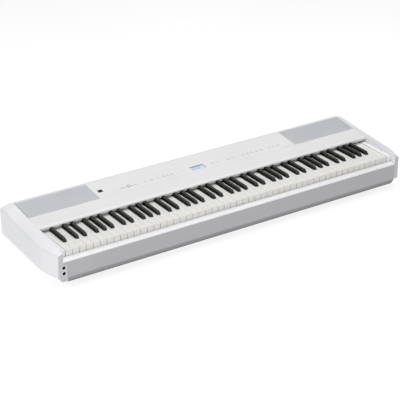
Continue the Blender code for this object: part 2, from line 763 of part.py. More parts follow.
def make_rear_terminals(look):
    """The rear block with four jacks, a square computer socket and the power inlet."""
    bm = bmesh.new()
    low = (TERMINAL_X[0], REAR - TERMINAL_DEPTH, TERMINAL_Z[0])
    add_box(bm, low, (TERMINAL_X[1], REAR, TERMINAL_Z[1]))
    block = finish("rear_terminals", bm, look)
    holes = bmesh.new()
    z = sum(TERMINAL_Z) / 2
    inner, outer = REAR - TERMINAL_DEPTH + TERMINAL_FLOOR, REAR + 0.002
    for i in range(4):
        x = TERMINAL_X[0] + TERMINAL_FIRST + TERMINAL_PITCH * i
        add_bore(holes, x, z, inner, outer, JACK_RADIUS)
    half_x, half_z = SQUARE_SOCKET[0] / 2, SQUARE_SOCKET[1] / 2
    low = (SQUARE_SOCKET_X - half_x, inner, z - half_z)
    add_box(holes, low, (SQUARE_SOCKET_X + half_x, outer, z + half_z))
    add_bore(holes, INLET_X, z, inner, outer, INLET_RADIUS)
    half = POWER_SIZE / 2 + GAP
    low = (POWER_X - half, REAR - TERMINAL_DEPTH - 0.001, z - half)
    add_box(holes, low, (POWER_X + half, outer, z + half))
    combine(block, holes, "DIFFERENCE")


def make_power_button(look):
    bm = bmesh.new()
    z = sum(TERMINAL_Z) / 2
    half = POWER_SIZE / 2
    low = (POWER_X - half, REAR - GAP - POWER_LENGTH, z - half)
    add_box(bm, low, (POWER_X + half, REAR - GAP, z + half))
    finish("power_button", bm, look)


def make_grille(name, side, look):
    bm = bmesh.new()
    ends = sorted((side * GRILLE_INNER_X, side * (INNER_HALF - GAP)))
    near, far = GRILLE_FRONT_Y, GRILLE_REAR_Y
    outline = [(near, panel_z(near)), (far, panel_z(far))]
    outline += [(far, panel_z(far) - GRILLE_THICKNESS), (near, panel_z(near) - GRILLE_THICKNESS)]
    add_prism(bm, outline, "x", *ends)
    finish(name, bm, look)


def make_woofer(name, side, look):
    """An oval loudspeaker: flange, cone dish and magnet, hung under the panel's baffle."""
    top = panel_z(WOOFER_Y - WOOFER_HALF[1]) - 0.0075
    wide = WOOFER_HALF[0]
    profile = [
        (0.012, -0.014),
        (0.022, -0.014),
        (wide - WOOFER_FLANGE, -0.001),
        (wide - WOOFER_FLANGE, 0.0),
        (wide, 0.0),
        (wide, -0.002),
        (wide - WOOFER_FLANGE, -0.003),
        (MAGNET_RADIUS, -0.022),
        (MAGNET_RADIUS, -WOOFER_DEPTH),
        (0.001, -WOOFER_DEPTH),
    ]
    bm = bmesh.new()
    add_turned(bm, profile, 28, WOOFER_HALF[1] / WOOFER_HALF[0])
    woofer = finish(name, bm, look, smooth=True)
    woofer.location = (side * WOOFER_X, WOOFER_Y, top)


def make_main_board(look):
    near, far = PIVOT_Y + 0.024, REAR - 0.030
    top = KEY_TOP_Z - 0.008
    bm = bmesh.new()
    add_box(bm, (BOARD_X[0], near, top - BOARD_THICKNESS), (BOARD_X[1], far, top))
    board = finish("main_board", bm, look)
    chips = bmesh.new()
    wide, deep = CHIP_SIZE
    chip_near = near + 0.012
    for i in range(4):
        x = BOARD_X[0] + 0.030 + i * CHIP_PITCH
        low = (x, chip_near, top - BOARD_THICKNESS / 2)
        add_box(chips, low, (x + wide, chip_near + deep, top + 0.003))
    combine(board, chips, "UNION")


def make_feet(look):
    for x_name, x in (("left", -FOOT_X), ("right", FOOT_X)):
        for y_name, y in zip(("front", "rear"), FOOT_Y):
            bm = bmesh.new()
            high = CASE_BOTTOM - GAP
            profile = [(FOOT_RADIUS - 0.0015, 0), (FOOT_RADIUS, 0.0015), (FOOT_RADIUS, high)]
            add_turned(bm, profile, 24)
            foot = finish(f"{y_name}_{x_name}_foot", bm, look, smooth=True)
            foot.location = (x, y, 0)


def main():
    clear_scene()
    white = material("white_plastic", (0.80, 0.80, 0.82), 0.35)
    panel = material("panel_white", (0.78, 0.78, 0.78), 0.40)
    grey = material("front_grey", (0.62, 0.62, 0.64), 0.45)
    silver = material("grille_silver", (0.52, 0.54, 0.57), 0.45, 0.3)
    ivory = material("key_white", (0.84, 0.83, 0.80), 0.30)
    ebony = material("key_black", (0.025, 0.025, 0.025), 0.40)
    rubber = material("rubber", (0.03, 0.03, 0.03), 0.80)
    steel = material("steel", (0.55, 0.55, 0.57), 0.40, 0.9)
    felt = material("felt", (0.05, 0.04, 0.035), 0.95)
    glass = material("display_blue", (0.30, 0.45, 0.70), 0.15)
    dark = material("socket_black", (0.02, 0.02, 0.02), 0.50)
    button = material("button_white", (0.74, 0.74, 0.75), 0.45)
    cone = material("cone_black", (0.03, 0.03, 0.03), 0.70)
    board = material("board_green", (0.05, 0.22, 0.10), 0.50)

    make_top_panel(panel)
    make_front_panel(grey)
    make_bottom_case(grey)
    make_rear_panel(white)
    for name, side in (("left", -1), ("right", 1)):
        make_cheek(name + "_cheek", side, white)
        make_key_block(name + "_key_block", side, white)
        make_grille(name + "_grille", side, silver)
        make_woofer(name + "_woofer", side, cone)
    make_key_frame(steel)
    make_felt(felt)
    make_main_board(board)
    make_feet(rubber)

    make_display(glass)
    make_usb_socket(dark)
    make_headphone_jacks(white)
    make_rear_terminals(dark)
    make_power_button(button)
    make_slider(button)
    for name, places in BUTTON_GROUPS.items():
        make_button_group(name, places, button)

    make_single_keys(ivory, ebony)
    for name, notes in COMBS.items():
        make_comb(name + "_white_keys", notes, True, ivory)
        make_comb(name + "_black_keys", notes, False, ebony)


main()
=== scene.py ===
"""Looks of the portable digital piano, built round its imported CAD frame."""

import json
from math import atan, cos, pi, radians, sin, sqrt, tan

import bmesh
import bpy
from mathutils import Matrix, Vector


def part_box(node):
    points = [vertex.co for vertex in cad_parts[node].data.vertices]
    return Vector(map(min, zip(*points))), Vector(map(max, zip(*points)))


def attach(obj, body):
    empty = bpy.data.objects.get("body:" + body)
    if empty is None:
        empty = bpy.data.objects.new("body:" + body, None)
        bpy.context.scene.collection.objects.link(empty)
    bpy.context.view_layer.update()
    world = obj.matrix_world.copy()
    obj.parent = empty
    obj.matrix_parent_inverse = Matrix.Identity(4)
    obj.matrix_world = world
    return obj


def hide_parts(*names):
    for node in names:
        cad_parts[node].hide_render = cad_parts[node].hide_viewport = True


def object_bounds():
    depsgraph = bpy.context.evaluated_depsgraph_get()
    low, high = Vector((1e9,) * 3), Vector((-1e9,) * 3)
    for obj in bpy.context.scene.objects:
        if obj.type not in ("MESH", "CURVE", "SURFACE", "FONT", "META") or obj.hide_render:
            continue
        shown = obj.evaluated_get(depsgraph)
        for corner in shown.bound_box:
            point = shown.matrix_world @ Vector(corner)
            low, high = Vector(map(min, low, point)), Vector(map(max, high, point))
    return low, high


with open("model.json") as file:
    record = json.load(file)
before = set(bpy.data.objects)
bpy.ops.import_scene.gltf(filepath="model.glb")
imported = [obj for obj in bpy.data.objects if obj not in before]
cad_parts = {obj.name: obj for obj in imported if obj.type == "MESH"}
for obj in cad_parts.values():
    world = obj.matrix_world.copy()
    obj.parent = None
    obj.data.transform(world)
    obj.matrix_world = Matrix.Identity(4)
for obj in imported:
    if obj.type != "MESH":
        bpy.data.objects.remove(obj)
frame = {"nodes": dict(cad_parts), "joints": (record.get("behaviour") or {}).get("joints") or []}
CAD_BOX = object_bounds()

# Places read from the CAD nodes, in metres
FRONT, REAR = CAD_BOX[0].y, CAD_BOX[1].y
HALF = CAD_BOX[1].x
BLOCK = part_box("right_key_block")
KEY_FRONT, KEY_TOP = BLOCK[0].y, BLOCK[1].z
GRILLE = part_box("right_grille")
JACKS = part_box("headphone_jacks")
CHEEK_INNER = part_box("right_cheek")[0].x
CHEEK_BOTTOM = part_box("right_cheek")[0].z
CASE_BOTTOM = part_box("front_panel")[0].z
HINGE = next(j for j in frame["joints"] if j["name"] == "key_c4_pivot")["pos_m"]
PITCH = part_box("key_d4")[0].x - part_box("key_c4")[0].x

# The case: clearances, wall, cutters' overshoot, panel slope and rear roll
GAP = 0.0003
WALL = 0.003
PAST = 0.002
CASE_END = CHEEK_INNER - 2 * GAP
CHAMFER = 0.013
PANEL_SLOPE = 0.0716
PANEL_TILT = atan(PANEL_SLOPE)
ROLL_Y = KEY_FRONT + 0.310
ROLL_DEPTH = REAR - ROLL_Y
ROLL_DROP = 0.0191

# Headphone block, memory-stick socket, display and slider slot
JACK_X = -0.6285
JACK_BLOCK_X = -0.6388
JACK_HEIGHTS = (KEY_TOP - 0.0448, KEY_TOP - 0.0640)
BUSH_BORE = 0.0061
USB_HALF = (0.00775, 0.00725)
DISPLAY_HALF = (0.026, 0.01225)
DISPLAY_CORNER = 0.0012
SLOT_HALF = (0.031, 0.0015)


# Materials

NOISE_SPAN = (0.3, 0.7)


def fill(node, values):
    """Sets values on a node's sockets, by name."""
    for name, value in values.items():
        node.inputs[name].default_value = value


def start_material(name, roughness, metallic=0.0, specular=0.5):
    look = bpy.data.materials.new(name)
    look.use_nodes = True
    tree = look.node_tree
    shader = tree.nodes["Principled BSDF"]
    fill(shader, {"Roughness": roughness, "Metallic": metallic, "Specular IOR Level": specular})
    place = tree.nodes.new("ShaderNodeTexCoord")
    return look, tree, shader, place.outputs["Object"]


def stretched(tree, place, stretch):
    """Coordinates scaled by different amounts along X, Y and Z."""
    mapping = tree.nodes.new("ShaderNodeMapping")
    fill(mapping, {"Scale": stretch})
    tree.links.new(place, mapping.inputs["Vector"])
    return mapping.outputs["Vector"]


def noise(tree, place, scale, detail=2.0, roughness=0.5):
    made = tree.nodes.new("ShaderNodeTexNoise")
    fill(made, {"Scale": scale, "Detail": detail, "Roughness": roughness})
    tree.links.new(place, made.inputs["Vector"])
    return made.outputs["Fac"]


def ramp(tree, value, low_colour, high_colour):
    made = tree.nodes.new("ShaderNodeValToRGB")
    stops = zip(made.color_ramp.elements, NOISE_SPAN, (low_colour, high_colour))
    for stop, position, colour in stops:
        stop.position = position
        stop.color = (*colour, 1.0)
    tree.links.new(value, made.inputs["Fac"])
    return made.outputs["Color"]


def gloss(tree, shader, value, low, high):
    """Drives the roughness by a noise value."""
    made = tree.nodes.new("ShaderNodeMapRange")
    fill(made, {"From Min": NOISE_SPAN[0], "From Max": NOISE_SPAN[1], "To Min": low, "To Max": high})
    tree.links.new(value, made.inputs["Value"])
    tree.links.new(made.outputs["Result"], shader.inputs["Roughness"])


def math_node(tree, operation, one, two):
    made = tree.nodes.new("ShaderNodeMath")
    made.operation = operation
    for socket, value in zip(made.inputs, (one, two)):
        if isinstance(value, float):
            socket.default_value = value
        else:
            tree.links.new(value, socket)
    return made.outputs[0]


def bump(tree, shader, height, strength, distance, under=None):
    made = tree.nodes.new("ShaderNodeBump")
    fill(made, {"Strength": strength, "Distance": distance})
    tree.links.new(height, made.inputs["Height"])
    if under:
        tree.links.new(under, made.inputs["Normal"])
    tree.links.new(made.outputs["Normal"], shader.inputs["Normal"])
    return made.outputs["Normal"]


def shade(colour, factor):
    return tuple(min(1.0, c * factor) for c in colour)


def tint(tree, shader, value, colour, low, high):
    """Drives the base colour by a noise value, between two shades of one colour."""
    tone = ramp(tree, value, shade(colour, low), shade(colour, high))
    tree.links.new(tone, shader.inputs["Base Color"])


def moulded(
    name, colour, roughness, spread=0.02, grain=1400.0, depth=0.00002, specular=0.5, coat=0.0
):
    """Moulded plastic: a fine grain, slight changes of shade, and uneven gloss."""
    look, tree, shader, place = start_material(name, roughness, specular=specular)
    fill(shader, {"Coat Weight": coat, "Coat Roughness": 0.12})
    broad = noise(tree, place, 7.0, 4.0)
    tint(tree, shader, broad, colour, 1 - spread, 1 + spread)
    smear = noise(tree, place, 38.0, 5.0, 0.65)
    gloss(tree, shader, smear, roughness - 0.05, roughness + 0.06)
    wave = bump(tree, shader, noise(tree, place, 16.0, 1.0), 0.15, 0.0004)
    bump(tree, shader, noise(tree, place, grain, 2.0), 0.35, depth, wave)
    return look


def brushed(name, colour, roughness):
    """Metal with fine lines along X."""
    look, tree, shader, place = start_material(name, roughness, metallic=1.0)
    lines = noise(tree, stretched(tree, place, (4, 900, 900)), 1.0, 4.0)
    tint(tree, shader, lines, colour, 0.85, 1.1)
    gloss(tree, shader, lines, roughness - 0.08, roughness + 0.1)
    bump(tree, shader, lines, 0.25, 0.00003)
    return look


def vector_node(tree, operation, value, second=None):
    made = tree.nodes.new("ShaderNodeVectorMath")
    made.operation = operation
    tree.links.new(value, made.inputs[0])
    if second:
        made.inputs[1].default_value = second
    return made


def dots(tree, place, pitch, radius):
    """Two grids of round dots, half a pitch apart: 1 in a hole, 0 on the sheet."""
    long_side = sqrt(3)
    blur = 0.1
    found = []
    for offset in (0.0, 0.5):
        mapping = tree.nodes.new("ShaderNodeMapping")
        scale = (1 / pitch, 1 / (pitch * long_side), 0.0)
        fill(mapping, {"Scale": scale, "Location": (offset, offset, 0.0)})
        tree.links.new(place, mapping.inputs["Vector"])
        cell = vector_node(tree, "FRACTION", mapping.outputs["Vector"])
        middle = vector_node(tree, "SUBTRACT", cell.outputs["Vector"], (0.5, 0.5, 0.0))
        square = vector_node(tree, "MULTIPLY", middle.outputs["Vector"], (1.0, long_side, 0.0))
        far = vector_node(tree, "LENGTH", square.outputs["Vector"])
        edge = tree.nodes.new("ShaderNodeMapRange")
        edge.interpolation_type = "SMOOTHSTEP"
        part = radius / pitch
        fill(edge, {"From Min": part * (1 + blur), "From Max": part * (1 - blur)})
        tree.links.new(far.outputs["Value"], edge.inputs["Value"])
        found.append(edge.outputs["Result"])
    return math_node(tree, "MAXIMUM", *found)


def perforated(name, sheet, hole):
    """Painted sheet metal with rows of small round holes."""
    look, tree, shader, place = start_material(name, 0.42, metallic=0.25)
    holes = dots(tree, place, 0.0021, 0.00058)
    paint = ramp(tree, noise(tree, place, 9.0, 3.0), shade(sheet, 0.97), shade(sheet, 1.03))
    mix = tree.nodes.new("ShaderNodeMix")
    mix.data_type = "RGBA"
    tree.links.new(holes, mix.inputs["Factor"])
    low_colour, high_colour = [socket for socket in mix.inputs if socket.type == "RGBA"]
    tree.links.new(paint, low_colour)
    high_colour.default_value = (*hole, 1.0)
    result = next(socket for socket in mix.outputs if socket.type == "RGBA")
    tree.links.new(result, shader.inputs["Base Color"])
    fleck = noise(tree, place, 1800.0, 2.0)
    gloss(tree, shader, fleck, 0.36, 0.5)
    under = bump(tree, shader, fleck, 0.2, 0.00002)
    bump(tree, shader, math_node(tree, "SUBTRACT", 1.0, holes), 0.6, 0.0003, under)
    return look


def fibrous(name, colour):
    """Pressed felt."""
    look, tree, shader, place = start_material(name, 0.95, specular=0.2)
    fill(shader, {"Sheen Weight": 0.6, "Sheen Roughness": 0.6})
    fibres = noise(tree, place, 900.0, 8.0, 0.75)
    tint(tree, shader, fibres, colour, 0.6, 1.5)
    bump(tree, shader, fibres, 0.8, 0.0004)
    return look


def grained_black(name, colour, roughness, specular):
    """Matt black key cap with fine lengthwise grain."""
    look, tree, shader, place = start_material(name, roughness, specular=specular)
    grain = noise(tree, stretched(tree, place, (1500, 60, 1500)), 1.0, 4.0, 0.6)
    tint(tree, shader, grain, colour, 0.7, 1.3)
    worn = noise(tree, place, 55.0, 4.0)
    gloss(tree, shader, worn, roughness - 0.06, roughness + 0.08)
    bump(tree, shader, grain, 0.35, 0.00004)
    return look


def lit(name, colour, strength):
    """A lit liquid-crystal panel with its fine pixel grid, under a glossy cover."""
    look, tree, shader, place = start_material(name, 0.12)
    fill(shader, {"Coat Weight": 0.6, "Emission Strength": strength})
    cells = tree.nodes.new("ShaderNodeTexChecker")
    dark, light = (*shade(colour, 0.94), 1.0), (*shade(colour, 1.06), 1.0)
    fill(cells, {"Scale": 2600.0, "Color1": dark, "Color2": light})
    tree.links.new(place, cells.inputs["Vector"])
    tree.links.new(cells.outputs["Color"], shader.inputs["Emission Color"])
    tree.links.new(cells.outputs["Color"], shader.inputs["Base Color"])
    bump(tree, shader, noise(tree, place, 60.0, 2.0), 0.05, 0.0001)
    return look


def circuit(name):
    """Solder mask over copper tracks."""
    look, tree, shader, place = start_material(name, 0.35)
    tracks = tree.nodes.new("ShaderNodeTexBrick")
    fill(tracks, {"Color1": (0.02, 0.16, 0.06, 1.0), "Color2": (0.03, 0.20, 0.08, 1.0)})
    fill(tracks, {"Mortar": (0.30, 0.36, 0.16, 1.0), "Scale": 90.0, "Mortar Size": 0.03})
    tree.links.new(place, tracks.inputs["Vector"])
    tree.links.new(tracks.outputs["Color"], shader.inputs["Base Color"])
    bump(tree, shader, tracks.outputs["Fac"], 0.3, 0.0001)
    return look


WHITE = moulded("white_plastic", (0.85, 0.85, 0.87), 0.34)
# Painted shade: the cheeks' and headphone plate's forward faces, a darker copy of the white plastic.
SHADED = moulded("front_white", (0.52, 0.52, 0.535), 0.36)
PANEL = moulded("panel_white", (0.79, 0.785, 0.785), 0.40, grain=1700.0)
# Painted shade of the front panel's face, in four steps that darken towards its lower edge.
FACE_SHADE_1 = moulded("front_grey", (0.43, 0.43, 0.445), 0.42, grain=1500.0)
FACE_SHADE_2 = moulded("front_face_painted_shade_2", (0.335, 0.335, 0.347), 0.44, grain=1400.0, depth=0.00003)
FACE_SHADE_3 = moulded("front_face_painted_shade_3", (0.255, 0.255, 0.264), 0.46, grain=1300.0, depth=0.00004)
FACE_SHADE_4 = moulded("front_face_painted_shade_4", (0.17, 0.17, 0.176), 0.48, grain=1300.0, depth=0.00004)
TRAY = moulded("tray_grey", (0.50, 0.50, 0.515), 0.55, grain=1000.0, depth=0.00006)
CAP = moulded("button_white", (0.72, 0.72, 0.725), 0.42)
RIM = moulded("rim_white", (0.92, 0.92, 0.93), 0.28)
MARK = moulded("mark_grey", (0.36, 0.36, 0.37), 0.5)
IVORY = moulded("key_white", (0.83, 0.82, 0.79), 0.27, spread=0.006, grain=2200.0, depth=0.000005)
# Painted shade: the white keys' fronts and sides, a darker copy of the key white.
IVORY_SHADE = moulded(
    "key_upright_painted_shade", (0.765, 0.753, 0.72), 0.34, spread=0.008, grain=2200.0, depth=0.000005
)
EBONY = grained_black("key_black", (0.030, 0.0295, 0.0295), 0.42, 0.42)
# The black keys' sides: matt, and darker than the tops as painted shade.
EBONY_SIDE_SHADE = grained_black("key_black_side_matt_painted_shade", (0.006, 0.006, 0.006), 0.6, 0.15)
RUBBER = moulded(
    "foot_rubber", (0.03, 0.03, 0.031), 0.8, spread=0.2, grain=700.0, depth=0.0001, specular=0.3
)
BLACK = moulded("socket_black", (0.012, 0.012, 0.013), 0.55, spread=0.1, specular=0.3)
CONE = moulded("cone_paper", (0.03, 0.03, 0.03), 0.75, spread=0.25, grain=500.0, depth=0.0001)
SILVER = moulded("grille_rim", (0.53, 0.545, 0.57), 0.42, grain=1800.0)
MESH = perforated("grille_sheet", (0.80, 0.815, 0.85), (0.06, 0.06, 0.066))
STEEL = brushed("bright_steel", (0.60, 0.60, 0.61), 0.34)
BRASS = brushed("contact_brass", (0.75, 0.58, 0.28), 0.3)
FELT = fibrous("dark_felt", (0.035, 0.028, 0.024))
GREEN = circuit("board_green")
LIT = lit("screen_lit", (0.50, 0.60, 0.77), 0.28)
LIT_DARK = lit("screen_dark", (0.22, 0.30, 0.47), 0.16)
FRAME_BLUE = moulded("screen_frame", (0.13, 0.17, 0.27), 0.25, coat=0.5)


# Mesh helpers


def add_prism(bm, outline, axis, low, high):
    """Adds an outline, drawn in the plane across the axis, extruded from low to high along it."""
    places = {
        "x": lambda a, b, along: (along, a, b),
        "y": lambda a, b, along: (a, along, b),
        "z": lambda a, b, along: (a, b, along),
    }
    place = places[axis]
    start = [bm.verts.new(place(a, b, low)) for a, b in outline]
    end = [bm.verts.new(place(a, b, high)) for a, b in outline]
    bm.faces.new(start)
    bm.faces.new(reversed(end))
    for i in range(len(outline)):
        j = (i + 1) % len(outline)
        bm.faces.new((start[i], start[j], end[j], end[i]))
    return start + end


def add_box(bm, low, high):
    outline = [(low[0], low[1]), (high[0], low[1]), (high[0], high[1]), (low[0], high[1])]
    return add_prism(bm, outline, "z", low[2], high[2])


def add_loft(bm, rings, capped=True):
    made = [[bm.verts.new(point) for point in ring] for ring in rings]
    for one, two in zip(made, made[1:]):
        for i in range(len(one)):
            j = (i + 1) % len(one)
            bm.faces.new((one[i], one[j], two[j], two[i]))
    if capped:
        bm.faces.new(made[0])
        bm.faces.new(reversed(made[-1]))
    return [vertex for ring in made for vertex in ring]


def add_turned(bm, profile, sides, centre=(0, 0, 0), axis="z", closed=False):
    """Adds a shape turned about an axis, from (radius, height) points; a closed one is a ring."""
    rings = []
    for radius, height in profile:
        ring = []
        for i in range(sides):
            a = 2 * pi * i / sides
            across, along = radius * cos(a), radius * sin(a)
            if axis == "z":
                ring.append((centre[0] + across, centre[1] + along, centre[2] + height))
            else:
                ring.append((centre[0] + across, centre[1] + height, centre[2] + along))
        rings.append(ring)
    made = add_loft(bm, rings + rings[:1] if closed else rings, capped=not closed)
    if closed:
        bmesh.ops.remove_doubles(bm, verts=made, dist=0.000001)
    return made


def arc(centre, radii, start, end, steps):
    """Points of an elliptical arc; the angles are in degrees."""
    points = []
    for i in range(steps + 1):
        angle = radians(start + (end - start) * i / steps)
        points.append((centre[0] + radii[0] * cos(angle), centre[1] + radii[1] * sin(angle)))
    return points


def rounded(low, high, radius, steps=5):
    """A rectangle with round corners."""
    r = (radius, radius)
    points = arc((high[0] - radius, high[1] - radius), r, 0, 90, steps)
    points += arc((low[0] + radius, high[1] - radius), r, 90, 180, steps)
    points += arc((low[0] + radius, low[1] + radius), r, 180, 270, steps)
    points += arc((high[0] - radius, low[1] + radius), r, 270, 360, steps)
    return points


def soften(bm, width, steps, chosen=None):
    """Rounds the chosen edges, or all of them."""
    edges = list(bm.edges) if chosen is None else chosen
    bmesh.ops.bevel(bm, geom=edges, offset=width, segments=steps, affect="EDGES", profile=0.5)


def solid(name, bm):
    bmesh.ops.recalc_face_normals(bm, faces=bm.faces)
    mesh = bpy.data.meshes.new(name)
    bm.to_mesh(mesh)
    bm.free()
    made = bpy.data.objects.new(name, mesh)
    bpy.context.scene.collection.objects.link(made)
    return made


def carve(target, bm, operation="DIFFERENCE"):
    """Cuts the shapes in bm from the target, or joins them to it, at once."""
    tool = solid("tool", bm)
    step = target.modifiers.new("cut", "BOOLEAN")
    step.operation = operation
    step.solver = "EXACT"
    step.object = tool
    bpy.context.view_layer.update()
    ready = target.evaluated_get(bpy.context.evaluated_depsgraph_get())
    mesh = bpy.data.meshes.new_from_object(ready)
    target.modifiers.clear()
    target.data = mesh
    if not mesh.polygons:
        raise ValueError(target.name + " was cut away")
    bpy.data.objects.remove(tool)


def dress(made, looks, body, nodes=(), bevel=0.0, steps=2):
    """Gives a solid its materials, edge rounding and body, and hides the CAD nodes that it stands for.
    """
    mesh = made.data
    mesh.shade_smooth()
    if isinstance(looks, bpy.types.Material):
        looks = [looks]
    parts = [face.material_index for face in mesh.polygons]
    mesh.materials.clear()
    for look in looks:
        mesh.materials.append(look)
    for face, part in zip(mesh.polygons, parts):
        face.material_index = part
    if bevel:
        step = made.modifiers.new("edges", "BEVEL")
        step.width = bevel
        step.segments = steps
        step.limit_method = "ANGLE"
        step.angle_limit = radians(28)
        step.harden_normals = True
    else:
        step = made.modifiers.new("normals", "WEIGHTED_NORMAL")
        step.keep_sharp = True
        mesh.set_sharp_from_angle(angle=radians(50))
    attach(made, body)
    if nodes:
        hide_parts(*nodes)
    return made


def mark_front(made):
    """Gives the second material, a darker painted-shade copy, to the faces that look forward."""
    for face in made.data.polygons:
        if face.normal.y < -0.97:
            face.material_index = 1


def panel_z(y):
    """Height of the control panel's flat top at y."""
    return GRILLE[1].z + PANEL_SLOPE * (y - GRILLE[1].y)


def on_panel(bm, vertices, x, y):
    """Moves vertices drawn about the origin to a place on the sloped panel."""
    turn = Matrix.Translation((x, y, panel_z(y))) @ Matrix.Rotation(PANEL_TILT, 4, "X")
    bmesh.ops.transform(bm, matrix=turn, verts=vertices)


def panel_prism(bm, outline, low, high, x, y):
    """Adds an outline drawn about the origin, between two heights, at a place on the panel."""
    on_panel(bm, add_prism(bm, outline, "z", low, high), x, y)


def panel_box(bm, low, high, x, y):
    """Adds a box drawn about the origin at a place on the panel."""
    on_panel(bm, add_box(bm, low, high), x, y)


def centre_of(node):
    low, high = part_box(node)
    return (low + high) / 2


def flat_outline(near, far, top, bottom):
    """Upright cross-section (y, z) of a plate that lies along the panel, between two depths."""
    outline = [(near, panel_z(near) - top), (far, panel_z(far) - top)]
    return outline + [(far, panel_z(far) - bottom), (near, panel_z(near) - bottom)]


def tub_outline(low, high):
    """Cross-section (x, z) of the case: a rectangle with its two lower corners cut off."""
    half = high.x
    outline = [(-half, high.z), (-half, low.z + CHAMFER), (-half + CHAMFER, low.z)]
    return outline + [(half - CHAMFER, low.z), (half, low.z + CHAMFER), (half, high.z)]


# Case


def roll_drop(y):
    part = max(0.0, y - ROLL_Y) / ROLL_DEPTH
    return ROLL_DROP * (1 - sqrt(max(0.0, 1 - part * part)))


def lid_outline():
    """Cross-section of the lid: rear skirt, roll, flat top, nose over the keys, and back inside."""
    radius, skirt = 0.0068, 0.004
    foot = panel_z(ROLL_Y) - ROLL_DROP
    top_y, edge_y = KEY_FRONT + 0.154, KEY_FRONT + 0.140
    lip_y, lip_z = KEY_FRONT + 0.148, KEY_TOP - 0.0024
    under = (lip_y - 0.0015, KEY_TOP + 0.0064)
    roll = (ROLL_Y, foot)
    nose = (top_y, panel_z(top_y) - radius)
    deep = top_y - edge_y
    outer = [(REAR, foot - skirt)]
    outer += arc(roll, (ROLL_DEPTH, ROLL_DROP), 0, 90, 20)
    outer += arc(nose, (deep, radius), 90, 180, 16)
    outer += [(edge_y + 0.0004, nose[1] - 0.0012), under, (lip_y, lip_z)]
    inner = [(lip_y + WALL, lip_z), (under[0] + WALL, under[1] + 0.0015)]
    inner += arc(nose, (deep - 2 * WALL, radius - WALL), 160, 90, 6)
    inner += arc(roll, (ROLL_DEPTH - WALL, ROLL_DROP - WALL), 90, 0, 16)
    inner += [(REAR - WALL, foot - skirt)]
    return outer + inner


BUTTON_NODES = ("rhythm_buttons", "song_buttons", "menu_buttons", "voice_buttons", "setup_buttons")
BUTTON_PLACES = {
    "rhythm_buttons": (-0.199, -0.175, -0.151),
    "song_buttons": (-0.130, -0.1145, -0.099),
    "menu_buttons": (0.060, 0.080, 0.121, 0.140),
    "voice_buttons": (0.181, 0.1995, 0.218, 0.2365, 0.255),
    "setup_buttons": (0.287, 0.306, 0.325),
}
BUTTON_HALF = (0.00475, 0.0025)
CONTROL_Y = centre_of("voice_buttons").y


def make_lid():
    """The lid with its two grille pockets, the groove between them, and all its holes."""
    bm = bmesh.new()
    add_prism(bm, lid_outline(), "x", -CASE_END, CASE_END)
    lid = solid("top_panel_shell", bm)
    pocket = 0.0024
    outline = flat_outline(GRILLE[0].y - GAP, GRILLE[1].y + GAP, -PAST, pocket)
    cuts = bmesh.new()
    for side in (-1, 1):
        ends = sorted((side * (GRILLE[0].x - GAP), side * (CASE_END + PAST)))
        add_prism(cuts, outline, "x", *ends)
    carve(lid, cuts)
    groove = bmesh.new()
    reach, half, depth = GRILLE[0].x + 0.002, 0.0004, 0.0005
    panel_box(groove, (-reach, -half, -depth), (reach, half, PAST), 0, GRILLE[0].y)
    carve(lid, groove)
    holes = bmesh.new()
    for name in BUTTON_NODES:
        for x in BUTTON_PLACES[name]:
            add_hole(holes, (x, CONTROL_Y), BUTTON_HALF, 0.0008)
    add_hole(holes, centre_of("display_window"), DISPLAY_HALF, DISPLAY_CORNER)
    add_hole(holes, centre_of("usb_socket"), USB_HALF, 0.0008)
    add_hole(holes, centre_of("volume_slider"), SLOT_HALF, 0.0014)
    carve(lid, holes)
    dress(lid, PANEL, "case", ["top_panel"], bevel=0.00035)


def add_hole(bm, place, half, radius):
    """A cutter through the lid with round corners."""
    x, y = place[0], place[1]
    low = (x - half[0] - GAP, y - half[1] - GAP)
    high = (x + half[0] + GAP, y + half[1] + GAP)
    add_prism(bm, rounded(low, high, radius, 3), "z", panel_z(y) - 0.010, panel_z(y) + 0.006)


